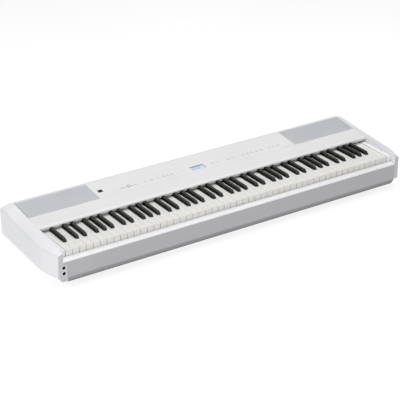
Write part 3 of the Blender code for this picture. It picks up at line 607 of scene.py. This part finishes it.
def make_front():
    """The front panel: a white slip before the key fronts, and below it a face in painted shade that
    darkens in bands downwards.
    """
    slip_y, slip_z = KEY_FRONT - 0.0011, KEY_TOP - 0.0195
    curl, curl_low = 0.006, (0.007, 0.008)
    lip, foot = 0.018, 0.029
    top = (FRONT + curl, slip_z - 0.0085)
    low = (FRONT + curl_low[0], CASE_BOTTOM + curl_low[1])
    shade_bands = (CASE_BOTTOM + 0.0185, CASE_BOTTOM + 0.0150)
    outer = [(slip_y, slip_z)]
    outer += arc(top, (curl, curl), 100, 180, 14)
    outer += [(FRONT, band) for band in shade_bands]
    outer += arc(low, curl_low, 180, 270, 14)
    outer += [(FRONT + foot, CASE_BOTTOM), (FRONT + foot, CASE_BOTTOM + WALL)]
    inner = arc(low, (curl_low[0] - WALL, curl_low[1] - WALL), 270, 180, 6)
    inner += arc(top, (curl - WALL, curl - WALL), 180, 100, 6)
    inner += [(slip_y - WALL, slip_z - WALL), (slip_y - WALL, slip_z - lip), (slip_y, slip_z - lip)]
    bm = bmesh.new()
    add_prism(bm, outer + inner, "x", -CASE_END, CASE_END)
    front = solid("front_panel_shell", bm)
    cuts = bmesh.new()
    corner_run, corner_rise = 0.014, 0.016
    bottom, ahead = CASE_BOTTOM - 0.001, FRONT - PAST
    for side in (-1, 1):
        near, far = side * (CASE_END - corner_run), side * (CASE_END + PAST)
        corner = [(near, bottom), (far, bottom), (far, bottom + corner_rise)]
        add_prism(cuts, corner, "y", ahead, FRONT + 0.040)
    jack_end = (JACKS[1].x + GAP, FRONT + 0.030, JACKS[1].z + GAP)
    add_box(cuts, (JACK_BLOCK_X, ahead, CASE_BOTTOM - PAST), jack_end)
    carve(front, cuts)
    # The face below the slip is painted in four steps of shade, darker towards the bottom edge.
    edges = (top[1] + 0.0012, *shade_bands, low[1] - 0.0005)
    for face in front.data.polygons:
        face.material_index = sum(face.center.z <= edge for edge in edges)
    looks = [WHITE, FACE_SHADE_1, FACE_SHADE_2, FACE_SHADE_3, FACE_SHADE_4]
    dress(front, looks, "case", ["front_panel"], bevel=0.0004)


def jack_outline(left):
    """The headphone block's outline from a left edge on: its lower left corner is cut off."""
    low, high = JACKS
    run, rise = 0.015, 0.018
    corner = low.x + run
    cut_z = low.z + rise * (corner - left) / run
    return [(left, high.z), (high.x, high.z), (high.x, low.z), (corner, low.z), (left, cut_z)]


def make_jacks():
    """The headphone plate at the front left corner, with two black threaded bushes."""
    low, high = JACKS
    bm = bmesh.new()
    add_prism(bm, jack_outline(low.x), "y", low.y + 0.0003, low.y + 0.0025)
    plate = solid("headphone_plate", bm)
    block = bmesh.new()
    add_prism(block, jack_outline(JACK_BLOCK_X), "y", low.y + 0.0015, high.y)
    carve(plate, block, "UNION")
    cuts = bmesh.new()
    for z in JACK_HEIGHTS:
        add_turned(cuts, [(BUSH_BORE, -0.001), (BUSH_BORE, 0.024)], 40, (JACK_X, FRONT, z), "y")
    front, under = FRONT - 0.001, low.z - 0.0012
    wedge = [(front, under), (FRONT + 0.006, under), (front, low.z + 0.0074)]
    add_prism(cuts, wedge, "x", low.x - PAST, high.x + PAST)
    carve(plate, cuts)
    # The plate's forward face takes the painted-shade copy of the white.
    mark_front(plate)
    dress(plate, [WHITE, SHADED], "case", ["headphone_jacks"], bevel=0.0005, steps=3)
    bushes = bmesh.new()
    profile = [(0.0060, 0.020), (0.0060, 0.0022), (0.0054, 0.0014), (0.0049, 0.0014)]
    profile += [(0.0045, 0.0022), (0.0040, 0.0014), (0.0037, 0.0015), (0.0033, 0.0026)]
    profile += [(0.0033, 0.0180), (0.0001, 0.0182)]
    for z in JACK_HEIGHTS:
        add_turned(bushes, profile, 40, (JACK_X, FRONT, z), "y")
    dress(solid("headphone_bushes", bushes), BLACK, "case")
    rims = bmesh.new()
    profile = [(BUSH_BORE, 0.0030), (BUSH_BORE, 0.0004), (0.0064, 0.0001), (0.0070, 0.0)]
    profile += [(0.0075, 0.0002), (0.0077, 0.0006), (0.0077, 0.0030)]
    for z in JACK_HEIGHTS:
        add_turned(rims, profile, 48, (JACK_X, FRONT, z), "y", closed=True)
    dress(solid("headphone_rims", rims), RIM, "case")
    dash = bmesh.new()
    outline = rounded((-0.0035, -0.0009), (0.0035, 0.0009), 0.0007, 3)
    fresh = add_prism(dash, outline, "y", FRONT + 0.0001, FRONT + 0.0008)
    place = Matrix.Translation((JACK_X + 0.0015, 0, low.z + 0.0112))
    turn = place @ Matrix.Rotation(radians(18), 4, "Y")
    bmesh.ops.transform(dash, matrix=turn, verts=fresh)
    dress(solid("headphone_mark", dash), MARK, "case")
    springs = bmesh.new()
    thick, tall = 0.0005, 0.0008
    for z in JACK_HEIGHTS:
        for side in (-1, 1):
            x = JACK_X + side * 0.0026
            start = (x - thick, FRONT + 0.006, z - tall)
            add_box(springs, start, (x + thick, FRONT + 0.016, z + tall))
    soften(springs, 0.0002, 2)
    dress(solid("headphone_contacts", springs), BRASS, "case")


# Cheeks and grilles

CHEEK_BEND = KEY_FRONT + 0.056
CHEEK_TIP = 0.646
CHEEK_SLOPE = radians(22)


def cheek_line(y):
    """Height of the cheek's inner top edge at y, without the rear roll."""
    if y > GRILLE[0].y:
        return panel_z(min(y, ROLL_Y))
    ahead = max(0.0, KEY_FRONT + 0.061 - y)
    return panel_z(GRILLE[0].y) + 0.0436 * (y - GRILLE[0].y) - 0.587 * ahead * ahead


def cheek_section(y):
    """Points (x, z) across the right cheek at y: sloped top, rounded shoulder, upright side."""
    blend = 0.012
    t = (CHEEK_BEND - y) / (CHEEK_BEND - FRONT)
    front = 0.5 * (t + sqrt(t * t + blend))
    front = min(1.0, max(0.0, front - 0.5 * (sqrt(1 + blend) - 1)))
    outer = HALF + front * (CHEEK_TIP - HALF)
    radius = 0.008 - 0.005 * front
    slope = CHEEK_SLOPE
    edge_x = outer - radius * (1 - sin(slope))
    edge_drop = (edge_x - CHEEK_INNER) * tan(slope)
    drops = [(CHEEK_INNER + (edge_x - CHEEK_INNER) * i / 4, edge_drop * i / 4) for i in range(5)]
    for i in range(1, 13):
        angle = slope + (pi / 2 - slope) * i / 12
        x = edge_x + radius * (sin(angle) - sin(slope))
        drops.append((x, edge_drop + radius * (cos(slope) - cos(angle))))
    fall = roll_drop(y)
    top = [(x, cheek_line(y) - (drop**4 + fall**4) ** 0.25) for x, drop in drops]
    return [(CHEEK_INNER, CHEEK_BOTTOM)] + top + [(outer, CHEEK_BOTTOM)]


def cheek_stations():
    """Places along the cheek for its sections, closer together at the bend and at the roll."""
    near, far = CHEEK_BEND - 0.020, CHEEK_BEND + 0.020
    stations = [FRONT + (near - FRONT) * i / 10 for i in range(10)]
    stations += [near + 0.040 * i / 12 for i in range(13)]
    stations += [far + (ROLL_Y - far) * i / 10 for i in range(1, 10)]
    stations += [ROLL_Y + ROLL_DEPTH * sin(i / 20 * pi / 2) for i in range(21)]
    return stations


def make_cheek(name, side):
    """An end cheek. The left one is cut back at the front for the headphone plate and block."""
    rings = [[(side * x, y, z) for x, z in cheek_section(y)] for y in cheek_stations()]
    bm = bmesh.new()
    add_loft(bm, rings)
    cheek = solid(name + "_shell", bm)
    if side < 0:
        top, below, ahead = JACKS[1].z + GAP, CHEEK_BOTTOM - PAST, FRONT - PAST
        end = GAP - CHEEK_INNER + 0.001
        for start, depth in ((-HALF, 0.0028), (JACK_BLOCK_X - GAP, 0.028)):
            cutter = bmesh.new()
            add_box(cutter, (start, ahead, below), (end, FRONT + depth, top))
            carve(cheek, cutter)
    # The cheek's forward end takes the painted-shade copy of the white.
    mark_front(cheek)
    dress(cheek, [WHITE, SHADED], "case", [name], bevel=0.0008, steps=3)


def make_key_block(name):
    """The block between a cheek and the last key; its top falls to the rear."""
    low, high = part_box(name)
    drop = 0.0036
    outline = [(low.y, low.z), (low.y, high.z), (high.y, high.z - drop), (high.y, low.z)]
    bm = bmesh.new()
    add_prism(bm, outline, "x", low.x, high.x)
    dress(solid(name + "_shell", bm), WHITE, "case", [name], bevel=0.0007, steps=3)


def make_grille(name, side):
    """A painted steel sheet with fine round holes inside a plain rim, on a dark gasket."""
    low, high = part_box(name)
    sheet, rim = 0.0012, 0.0016
    ends = sorted((side * GRILLE[0].x, side * (GRILLE[1].x - 0.0008)))
    bm = bmesh.new()
    add_prism(bm, flat_outline(low.y + 0.0004, high.y, 0.0, sheet), "x", *ends)
    bmesh.ops.recalc_face_normals(bm, faces=bm.faces)
    top = [face for face in bm.faces if face.normal.z > 0.9]
    bmesh.ops.inset_region(bm, faces=top, thickness=rim)
    for face in bm.faces:
        face.material_index = 1
    for face in top:
        face.material_index = 0
    bmesh.ops.inset_region(bm, faces=top, thickness=0.0004, depth=-0.0003)
    dress(solid(name + "_sheet", bm), [MESH, SILVER], "case", [name], bevel=0.0003)
    gasket = bmesh.new()
    add_prism(gasket, flat_outline(low.y, high.y, 0.0013, 0.0022), "x", low.x, high.x)
    soften(gasket, 0.0002, 2)
    dress(solid(name + "_gasket", gasket), RUBBER, "case")


# Keys

NOTE_NAMES = ("c", "c_sharp", "d", "d_sharp", "e", "f", "f_sharp", "g", "g_sharp", "a", "a_sharp", "b")
LOWEST, HIGHEST = 9, 96
COMBS = {"bass": range(9, 24), "tenor": range(24, 48), "treble": range(72, 97)}
WHITES = (0, 2, 4, 5, 7, 9, 11)
BLACK_SHIFTS = {1: -0.0031, 3: 0.0015, 6: -0.0040, 8: -0.0008, 10: 0.0024}
PIVOT_DEPTH = 0.010
KEY_LENGTH = 0.220
KEY_TILT = radians(2.3)
KEY_LOW = PIVOT_DEPTH - 0.0218
KEY_GAP = 0.0005
HEAD = 0.049
BLACK_HALF = 0.0062
BLACK_LENGTH = 0.095
BLACK_CLEAR = 0.0008
BLACK_RISE = 0.011


def white_left(note):
    """The left border of a white key, or of the white key after a black one."""
    octave, step = divmod(note, 12)
    before = octave * 7 + sum(white < step for white in WHITES) - 5
    return (before - 26) * PITCH


def black_centre(note):
    return white_left(note) + BLACK_SHIFTS[note % 12]


def is_white(note):
    return note % 12 in WHITES


def key_outline(note, inset, rear):
    """Plan of a white key, notched beside its black neighbours."""
    left = white_left(note) + KEY_GAP / 2 + inset
    right = white_left(note) + PITCH - KEY_GAP / 2 - inset
    tail_left, tail_right = left, right
    notch = BLACK_HALF + BLACK_CLEAR
    if note > LOWEST and not is_white(note - 1):
        tail_left = black_centre(note - 1) + notch + inset
    if note < HIGHEST and not is_white(note + 1):
        tail_right = black_centre(note + 1) - notch - inset
    front = inset - KEY_LENGTH
    head = HEAD - KEY_LENGTH - inset
    points = [(left, front), (right, front)]
    if tail_right < right:
        points += [(right, head), (tail_right, head)]
    points += [(tail_right, rear), (tail_left, rear)]
    if tail_left > left:
        points += [(tail_left, head), (left, head)]
    return points


def to_pivot(bm):
    """Moves a key drawn about the origin to the keys' hinge line, at its resting tilt."""
    turn = Matrix.Translation((0, HINGE[1], HINGE[2])) @ Matrix.Rotation(-KEY_TILT, 4, "X")
    bm.transform(turn)


def white_key(note):
    """A white key: a top plate with soft edges that overhangs the key's body a little."""
    bm = bmesh.new()
    plate = PIVOT_DEPTH - 0.0032
    add_prism(bm, key_outline(note, 0.0, 0.005), "z", plate, PIVOT_DEPTH)
    soften(bm, 0.0005, 3)
    before = len(bm.verts)
    add_prism(bm, key_outline(note, 0.0006, 0.006), "z", KEY_LOW, plate)
    last = set(list(bm.verts)[before:])
    soften(bm, 0.0003, 1, [edge for edge in bm.edges if last.issuperset(edge.verts)])
    bm.normal_update()
    # Upright faces, the key's front and sides, take the darker painted-shade copy.
    for face in bm.faces:
        upright = face.normal.y < -0.6 or abs(face.normal.x) > 0.6
        face.material_index = 1 if upright else 0
    to_pivot(bm)
    return bm


def black_key(note):
    """A black key: sloped front, sides that lean in, and well-rounded upper edges."""
    lean, tail = 0.0012, -0.002
    front = HEAD + BLACK_CLEAR - KEY_LENGTH
    rear = front + BLACK_LENGTH
    top, waist = PIVOT_DEPTH + BLACK_RISE, PIVOT_DEPTH - 0.002
    profile = [(front, KEY_LOW), (front, PIVOT_DEPTH + 0.001), (front + 0.0055, top - 0.0024)]
    profile += [(front + 0.0078, top - 0.0008), (front + 0.0112, top), (rear, top)]
    profile += [(rear, waist), (tail, waist), (tail, KEY_LOW)]
    centre = black_centre(note)
    bm = bmesh.new()
    add_prism(bm, profile, "x", centre - BLACK_HALF, centre + BLACK_HALF)
    for vertex in bm.verts:
        part = max(0.0, vertex.co.z - PIVOT_DEPTH) / BLACK_RISE
        vertex.co.x += lean * part * (1 if vertex.co.x < centre else -1)
    upper = []
    for edge in bm.edges:
        one, two = edge.verts
        if min(one.co.z, two.co.z) > PIVOT_DEPTH and abs(one.co.x - two.co.x) < 0.002:
            upper.append(edge)
    soften(bm, 0.0022, 6, upper)
    bm.normal_update()
    for face in bm.faces:
        # Side faces take the matt side material, darker as painted shade.
        face.material_index = 1 if abs(face.normal.x) > 0.8 else 0
    to_pivot(bm)
    return bm


def make_keys():
    """A cap for each of the 88 keys. Those outside the single octaves ride their comb's body."""
    for note in range(LOWEST, HIGHEST + 1):
        octave, step = divmod(note, 12)
        white = is_white(note)
        name = f"key_{NOTE_NAMES[step]}{octave}"
        node = name
        for comb, notes in COMBS.items():
            if note in notes:
                node = comb + ("_white_keys" if white else "_black_keys")
        bm = white_key(note) if white else black_key(note)
        looks = [IVORY, IVORY_SHADE] if white else [EBONY, EBONY_SIDE_SHADE]
        dress(solid(name + "_cap", bm), looks, node, [node])
    for comb, notes in COMBS.items():
        for whites in (True, False):
            make_rail(comb, [note for note in notes if is_white(note) == whites], whites)


def make_rail(comb, notes, whites):
    """The rail that joins a comb's keys across their hidden rear ends."""
    bm = bmesh.new()
    if whites:
        start, end = white_left(notes[0]) + 0.0015, white_left(notes[-1]) + PITCH - 0.0015
        add_box(bm, (start, 0.006, KEY_LOW + 0.001), (end, 0.012, PIVOT_DEPTH - 0.001))
    else:
        start, end = black_centre(notes[0]) - 0.004, black_centre(notes[-1]) + 0.004
        add_box(bm, (start, -0.013, KEY_LOW - 0.008), (end, -0.009, KEY_LOW - 0.001))
    soften(bm, 0.0005, 2)
    to_pivot(bm)
    node = comb + ("_white_keys" if whites else "_black_keys")
    dress(solid(node + "_rail", bm), IVORY if whites else EBONY, node)


# Controls


def make_buttons():
    """Each group's caps, slightly tapered, on the carrier strip that moves them together."""
    wide, deep = BUTTON_HALF
    side, across = 0.0050, 0.0045
    for name in BUTTON_NODES:
        places = BUTTON_PLACES[name]
        bm = bmesh.new()
        for x in places:
            outline = rounded((-wide, -deep), (wide, deep), 0.0009, 4)
            fresh = add_prism(bm, outline, "z", -0.0058, 0.0008)
            for vertex in fresh:
                if vertex.co.z > 0:
                    vertex.co.x *= 0.95
                    vertex.co.y *= 0.92
            on_panel(bm, fresh, x, CONTROL_Y)
        end = (places[-1] - places[0] + side, across, -0.0053)
        panel_box(bm, (-side, -across, -0.0067), end, places[0], CONTROL_Y)
        dress(solid(name + "_caps", bm), CAP, name, [name], bevel=0.0003)


def make_slider():
    """The volume knob: a cap with six ribs on a neck, between the slot's two dust flaps."""
    place = centre_of("volume_slider")
    node = "volume_slider"
    bm = bmesh.new()
    cap = rounded((-0.0045, -0.0055), (0.0045, 0.0055), 0.0010, 4)
    panel_prism(bm, cap, 0.0004, 0.0036, place.x, place.y)
    boxes = []
    for i in (-3, -2, -1, 1, 2, 3):
        x = i * 0.0012
        boxes.append(((x - 0.0003, -0.0048, 0.0034), (x + 0.0003, 0.0048, 0.0043)))
    boxes.append(((-0.0038, -0.0002, -0.0068), (0.0038, 0.0002, 0.0006)))
    boxes.append(((-0.0038, -0.0012, -0.0068), (0.0038, 0.0012, -0.0030)))
    for low, high in boxes:
        panel_box(bm, low, high, place.x, place.y)
    dress(solid("volume_slider_knob", bm), CAP, node, [node], bevel=0.00015)
    flaps = bmesh.new()
    reach = SLOT_HALF[0]
    for near, far in ((-0.0016, -0.0003), (0.0003, 0.0016)):
        panel_box(flaps, (-reach, near, -0.0016), (reach, far, -0.0008), place.x, place.y)
    soften(flaps, 0.0001, 1)
    dress(solid("slider_dust_flaps", flaps), SILVER, "case")


def make_marks():
    """Plain printed dashes beside the controls and one behind each button."""
    marks = [(-0.300, 0.235, 0.0030), (-0.266, 0.2265, 0.0020), (-0.249, 0.2265, 0.0020)]
    marks += [(-0.232, 0.2265, 0.0020), (-0.056, 0.239, 0.0022), (-0.046, 0.239, 0.0022)]
    marks += [(x, 0.2395, 0.0030) for places in BUTTON_PLACES.values() for x in places]
    marks += [(0.355, 0.217, 0.0040), (0.345, 0.217, 0.0030)]
    thick = 0.0005
    bm = bmesh.new()
    for x, y, half in marks:
        outline = rounded((-half, -thick), (half, thick), 0.0004, 3)
        panel_prism(bm, outline, -0.0002, 0.00006, x, KEY_FRONT + y)
    dress(solid("panel_marks", bm), MARK, "case")


def make_display():
    """A lit screen in a dark frame, with a header bar and plain rows of dashes."""
    low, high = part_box("display_window")
    middle = (low + high) / 2
    x, y = middle.x, middle.y
    wide, deep = DISPLAY_HALF
    bm = bmesh.new()
    panel_prism(bm, rounded((-wide, -deep), DISPLAY_HALF, DISPLAY_CORNER, 4), -0.0028, -0.0007, x, y)
    body = solid("display_frame", bm)
    # The frame's dark band is left wider along the rear and right edges: painted shade of the recess
    # walls there.
    well = bmesh.new()
    end = (wide - 0.0014, deep - 0.0026, 0.001)
    panel_box(well, (-wide + 0.0006, -deep + 0.0005, -0.0011), end, x, y)
    carve(body, well)
    dress(body, FRAME_BLUE, "case", ["display_window"], bevel=0.0002)
    screen = bmesh.new()
    start, end = (-wide + 0.0007, -deep + 0.0006), (wide - 0.0015, deep - 0.0027)
    panel_prism(screen, rounded(start, end, 0.0003, 2), -0.0013, -0.00095, x, y)
    dress(solid("display_screen", screen), LIT, "case")
    bars = [(-0.021, 0.0205, 0.0062, 0.0082)]
    for row, lengths in enumerate(((0.012, 0.016), (0.018, 0.008), (0.010, 0.013))):
        left = -0.019
        line = 0.0028 - 0.0048 * row
        for length in lengths:
            bars.append((left, left + length, line - 0.0007, line + 0.0007))
            left += length + 0.003
    bars.append((-0.0236, -0.0206, -0.0088, -0.0052))
    rows = bmesh.new()
    for x_low, x_high, y_low, y_high in bars:
        panel_box(rows, (x_low, y_low, -0.0010), (x_high, y_high, -0.00085), x, y)
    dress(solid("display_rows", rows), LIT_DARK, "case")


def make_usb():
    """A memory-stick socket: black frame, steel shell and contact tongue."""
    place = centre_of("usb_socket")
    x, y = place.x, place.y
    wide, deep = USB_HALF
    bm = bmesh.new()
    panel_prism(bm, rounded((-wide, -deep), USB_HALF, 0.0008, 3), -0.015, 0.0002, x, y)
    body = solid("usb_frame", bm)
    hole = bmesh.new()
    panel_box(hole, (-0.0065, -0.0037, -0.0125), (0.0065, 0.0037, 0.002), x, y)
    carve(body, hole)
    dress(body, BLACK, "case", ["usb_socket"], bevel=0.0003)
    shell = bmesh.new()
    for x_low, x_high, y_low, y_high in (
        (-0.0064, 0.0064, 0.0032, 0.0036),
        (-0.0064, 0.0064, -0.0036, -0.0032),
        (-0.0064, -0.0060, -0.0031, 0.0031),
        (0.0060, 0.0064, -0.0031, 0.0031),
    ):
        panel_box(shell, (x_low, y_low, -0.0124), (x_high, y_high, -0.0008), x, y)
    soften(shell, 0.0001, 1)
    dress(solid("usb_shell", shell), STEEL, "case")
    tongue = bmesh.new()
    add_box(tongue, (-0.0055, 0.0005, -0.0124), (0.0055, 0.0023, -0.0020))
    soften(tongue, 0.0003, 2)
    on_panel(tongue, list(tongue.verts), x, y)
    dress(solid("usb_tongue", tongue), BLACK, "case")


# Rear and underside


def add_screw(bm, place, axis, radius, sign=1.0):
    """A pan-head screw with a round recess; sign is the side that its head faces."""
    profile = [(radius * 0.5, -0.006), (radius * 0.5, -0.0010), (radius, -0.0010)]
    profile += [(radius, -0.0004), (radius * 0.86, 0.0), (radius * 0.42, 0.0)]
    profile += [(radius * 0.22, -0.0007), (0.0001, -0.0008)]
    add_turned(bm, [(across, along * sign) for across, along in profile], 20, place, axis)


def make_rear():
    """The rear panel with sunk screws, the terminals' window, and a row of cloth-backed vents."""
    low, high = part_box("rear_panel")
    ends = (low.y - 0.003, high.y + PAST)
    bm = bmesh.new()
    add_prism(bm, tub_outline(low, high), "y", low.y, high.y)
    panel = solid("rear_panel_shell", bm)
    term_low, term_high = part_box("rear_terminals")
    start = (term_low.x - GAP, term_low.z - GAP)
    cuts = bmesh.new()
    add_prism(cuts, rounded(start, (term_high.x + GAP, term_high.z + GAP), 0.003), "y", *ends)
    columns, lines = (-0.600, -0.360, -0.060, 0.160, 0.380, 0.600), (0.040, 0.106)
    places = [(x, z) for x in columns for z in lines]
    for x, z in places:
        add_turned(cuts, [(0.0045, -0.0016), (0.0045, PAST)], 24, (x, high.y, z), "y")
    for i in range(12):
        x = 0.200 + i * 0.012
        add_prism(cuts, rounded((x - 0.002, 0.056), (x + 0.002, 0.086), 0.0019, 4), "y", *ends)
    carve(panel, cuts)
    dress(panel, WHITE, "case", ["rear_panel"], bevel=0.0004)
    screws = bmesh.new()
    for x, z in places:
        add_screw(screws, (x, high.y - 0.0004, z), "y", 0.0036)
    dress(solid("rear_screws", screws), STEEL, "case")
    cloth = bmesh.new()
    add_box(cloth, (0.190, low.y - 0.002, 0.050), (0.342, low.y - 0.0005, 0.092))
    soften(cloth, 0.0003, 1)
    dress(solid("vent_cloth", cloth), FELT, "case")


def make_terminals():
    """The rear terminal plate: four jacks, a computer socket, the power inlet and its button."""
    low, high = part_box("rear_terminals")
    z = (low.z + high.z) / 2
    deep = high.y - 0.017
    jacks = [low.x + 0.020 + 0.022 * i for i in range(4)]
    square, inlet = low.x + 0.112, low.x + 0.136
    button = centre_of("power_button")
    bm = bmesh.new()
    add_prism(bm, rounded((low.x, low.z), (high.x, high.z), 0.003), "y", low.y, high.y - 0.0003)
    plate = solid("rear_terminal_plate", bm)
    holes = bmesh.new()
    for x, radius in [(x, 0.0061) for x in jacks] + [(inlet, 0.0046)]:
        add_turned(holes, [(radius, deep - high.y), (radius, PAST)], 36, (x, high.y, z), "y")
    for x, start, wide, tall in (
        (square, deep, 0.006, 0.0055),
        (button.x, low.y - PAST, 0.0063, 0.0063),
    ):
        add_box(holes, (x - wide, start, z - tall), (x + wide, high.y + PAST, z + tall))
    carve(plate, holes)
    dress(plate, BLACK, "case", ["rear_terminals"], bevel=0.0004)
    rings = bmesh.new()
    profile = [(0.0060, -0.016), (0.0060, -0.0006), (0.0055, -0.0001), (0.0040, -0.0001)]
    profile += [(0.0033, -0.0010), (0.0033, -0.0150), (0.0001, -0.0152)]
    for x in jacks:
        add_turned(rings, profile, 36, (x, high.y, z), "y")
    dress(solid("rear_jack_rings", rings), STEEL, "case")
    pin = bmesh.new()
    profile = [(0.0011, -0.0168), (0.0011, -0.0030), (0.0007, -0.0022), (0.0001, -0.0020)]
    add_turned(pin, profile, 20, (inlet, high.y, z), "y")
    dress(solid("power_pin", pin), STEEL, "case")
    core = bmesh.new()
    end = (square + 0.0028, high.y - 0.0020, z + 0.0026)
    add_box(core, (square - 0.0028, high.y - 0.0168, z - 0.0022), end)
    soften(core, 0.0004, 2)
    dress(solid("computer_socket_core", core), CAP, "case")
    low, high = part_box("power_button")
    node = "power_button"
    cap = bmesh.new()
    add_prism(cap, rounded((low.x, low.z), (high.x, high.z), 0.0016), "y", low.y, high.y)
    dress(solid("power_button_cap", cap), CAP, node, [node], bevel=0.0006, steps=3)


def make_underside():
    """Tray with stiffening ribs, screws and vent slots, and four ringed feet."""
    low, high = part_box("bottom_case")
    wall = 0.004
    bm = bmesh.new()
    add_prism(bm, tub_outline(low, high), "y", low.y, high.y)
    tray = solid("tray_shell", bm)
    slope = wall * tan(radians(22.5))
    side, step = high.x - wall, CHAMFER + slope
    top, floor = high.z + 0.001, low.z + wall
    inner = [(-side, top), (-side, low.z + step), (step - high.x, floor)]
    inner += [(high.x - step, floor), (side, low.z + step), (side, top)]
    hollow = bmesh.new()
    add_prism(hollow, inner, "y", low.y + wall, high.y - wall)
    carve(tray, hollow)
    cuts = bmesh.new()
    for way in (-1, 1):
        for i in range(10):
            x = way * (0.420 + i * 0.014)
            slot = rounded((x - 0.0022, 0.030), (x + 0.0022, 0.080), 0.0021, 4)
            add_prism(cuts, slot, "z", low.z - 0.001, low.z + 0.006)
    carve(tray, cuts)
    dress(tray, TRAY, "case", ["bottom_case"], bevel=0.0008)
    ribs = bmesh.new()
    rib_half, rib_depth = 0.006, 0.0014
    for y, reach in ((-0.095, 0.480), (-0.040, 0.480), (0.015, 0.480), (0.110, 0.400), (0.150, 0.400)):
        outline = rounded((-reach, y - rib_half), (reach, y + rib_half), 0.0055, 5)
        for vertex in add_prism(ribs, outline, "z", low.z - rib_depth, low.z + 0.001):
            if vertex.co.z < low.z:
                vertex.co.y = y + (vertex.co.y - y) * 0.7
                vertex.co.x *= 0.997
    dress(solid("tray_ribs", ribs), TRAY, "case", bevel=0.0005)
    screws = bmesh.new()
    for x in (-0.590, -0.300, 0.0, 0.300, 0.590):
        for y in (-0.070, 0.060, 0.165):
            add_screw(screws, (x, y, low.z - rib_depth), "z", 0.0042, -1.0)
    dress(solid("tray_screws", screws), STEEL, "case")
    for name in ("front_left_foot", "front_right_foot", "rear_left_foot", "rear_right_foot"):
        make_foot(name)


def make_foot(name):
    """A round rubber foot with a sunk centre and two rings underneath."""
    low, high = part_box(name)
    middle = (low + high) / 2
    radius, top = (high.x - low.x) / 2, high.z
    profile = [(0.0001, 0.0045), (0.0030, 0.0045), (0.0038, 0.0040), (0.0040, 0.0006)]
    profile += [(0.0048, 0.0), (0.0080, 0.0), (0.0086, 0.0008), (0.0094, 0.0008), (0.0100, 0.0)]
    profile += [(radius - 0.0018, 0.0), (radius - 0.0005, 0.0006), (radius, 0.0020)]
    profile += [(radius - 0.0004, top * 0.55), (radius, top * 0.62), (radius, top - 0.0006)]
    profile += [(radius - 0.0006, top), (0.0001, top)]
    bm = bmesh.new()
    add_turned(bm, profile, 48, (middle.x, middle.y, 0.0))
    dress(solid(name + "_pad", bm), RUBBER, "case", [name])


def dress_nodes():
    """Materials for the CAD nodes that stay as they are, inside the case."""
    looks = {
        "key_frame": STEEL,
        "key_felt": FELT,
        "main_board": GREEN,
        "left_woofer": CONE,
        "right_woofer": CONE,
    }
    for name, look in looks.items():
        mesh = frame["nodes"][name].data
        mesh.materials.clear()
        mesh.materials.append(look)


# Studio

FLOOR_REACH = 30.0
FLOOR_GLOW = 0.78
SKY_COLOUR = (0.98, 0.99, 1.0, 1.0)
SKY_STRENGTH = 0.30
CAMERA_LENS = 124.0
CAMERA_PLACE = (-2.1733, -3.3991, 2.1280)
CAMERA_TILT, CAMERA_TURN = radians(62.70), radians(-32.13)


def area_light(name, place, target, size, power):
    data = bpy.data.lights.new(name, "AREA")
    data.shape = "RECTANGLE"
    data.size, data.size_y = size
    data.energy = power
    lamp = bpy.data.objects.new(name, data)
    lamp.location = place
    lamp.rotation_euler = (Vector(target) - Vector(place)).to_track_quat("-Z", "Y").to_euler()
    bpy.context.scene.collection.objects.link(lamp)


def make_floor():
    """A wide white floor that is bright enough to meet the pale background without a line."""
    bm = bmesh.new()
    bmesh.ops.create_grid(bm, x_segments=24, y_segments=24, size=FLOOR_REACH)
    floor = solid("studio_floor", bm)
    look, tree, shader, place = start_material("floor_white", 0.9)
    tone = ramp(tree, noise(tree, place, 1.5, 3.0), (0.29, 0.29, 0.29), (0.31, 0.31, 0.31))
    tree.links.new(tone, shader.inputs["Base Color"])
    glow = {"Emission Color": (1.0, 1.0, 1.0, 1.0), "Emission Strength": FLOOR_GLOW}
    fill(shader, {"Specular IOR Level": 0.0, **glow})
    floor.data.materials.append(look)


def make_studio():
    scene = bpy.context.scene
    world = bpy.data.worlds.new("studio")
    world.use_nodes = True
    sky = world.node_tree.nodes["Background"]
    fill(sky, {"Color": SKY_COLOUR, "Strength": SKY_STRENGTH})
    scene.world = world
    area_light("overhead", (0.1, 0.3, 2.3), (0.0, 0.0, 0.1), (3.2, 2.2), 48.0)
    area_light("front_left", (-1.9, -2.3, 1.1), (-0.3, -0.15, 0.08), (1.4, 1.0), 26.0)
    scene.view_settings.view_transform = "Standard"
    scene.view_settings.look = "None"


def make_camera():
    data = bpy.data.cameras.new("camera")
    data.lens = CAMERA_LENS
    data.sensor_width = 36.0
    camera = bpy.data.objects.new("camera", data)
    camera.location = CAMERA_PLACE
    camera.rotation_euler = (CAMERA_TILT, 0.0, CAMERA_TURN)
    bpy.context.scene.collection.objects.link(camera)
    bpy.context.scene.camera = camera


make_camera()
make_lid()
make_front()
make_jacks()
for cheek, way in (("left", -1), ("right", 1)):
    make_cheek(cheek + "_cheek", way)
    make_key_block(cheek + "_key_block")
    make_grille(cheek + "_grille", way)
make_keys()
make_buttons()
make_slider()
make_marks()
make_display()
make_usb()
make_rear()
make_terminals()
make_underside()
dress_nodes()
make_floor()
make_studio()
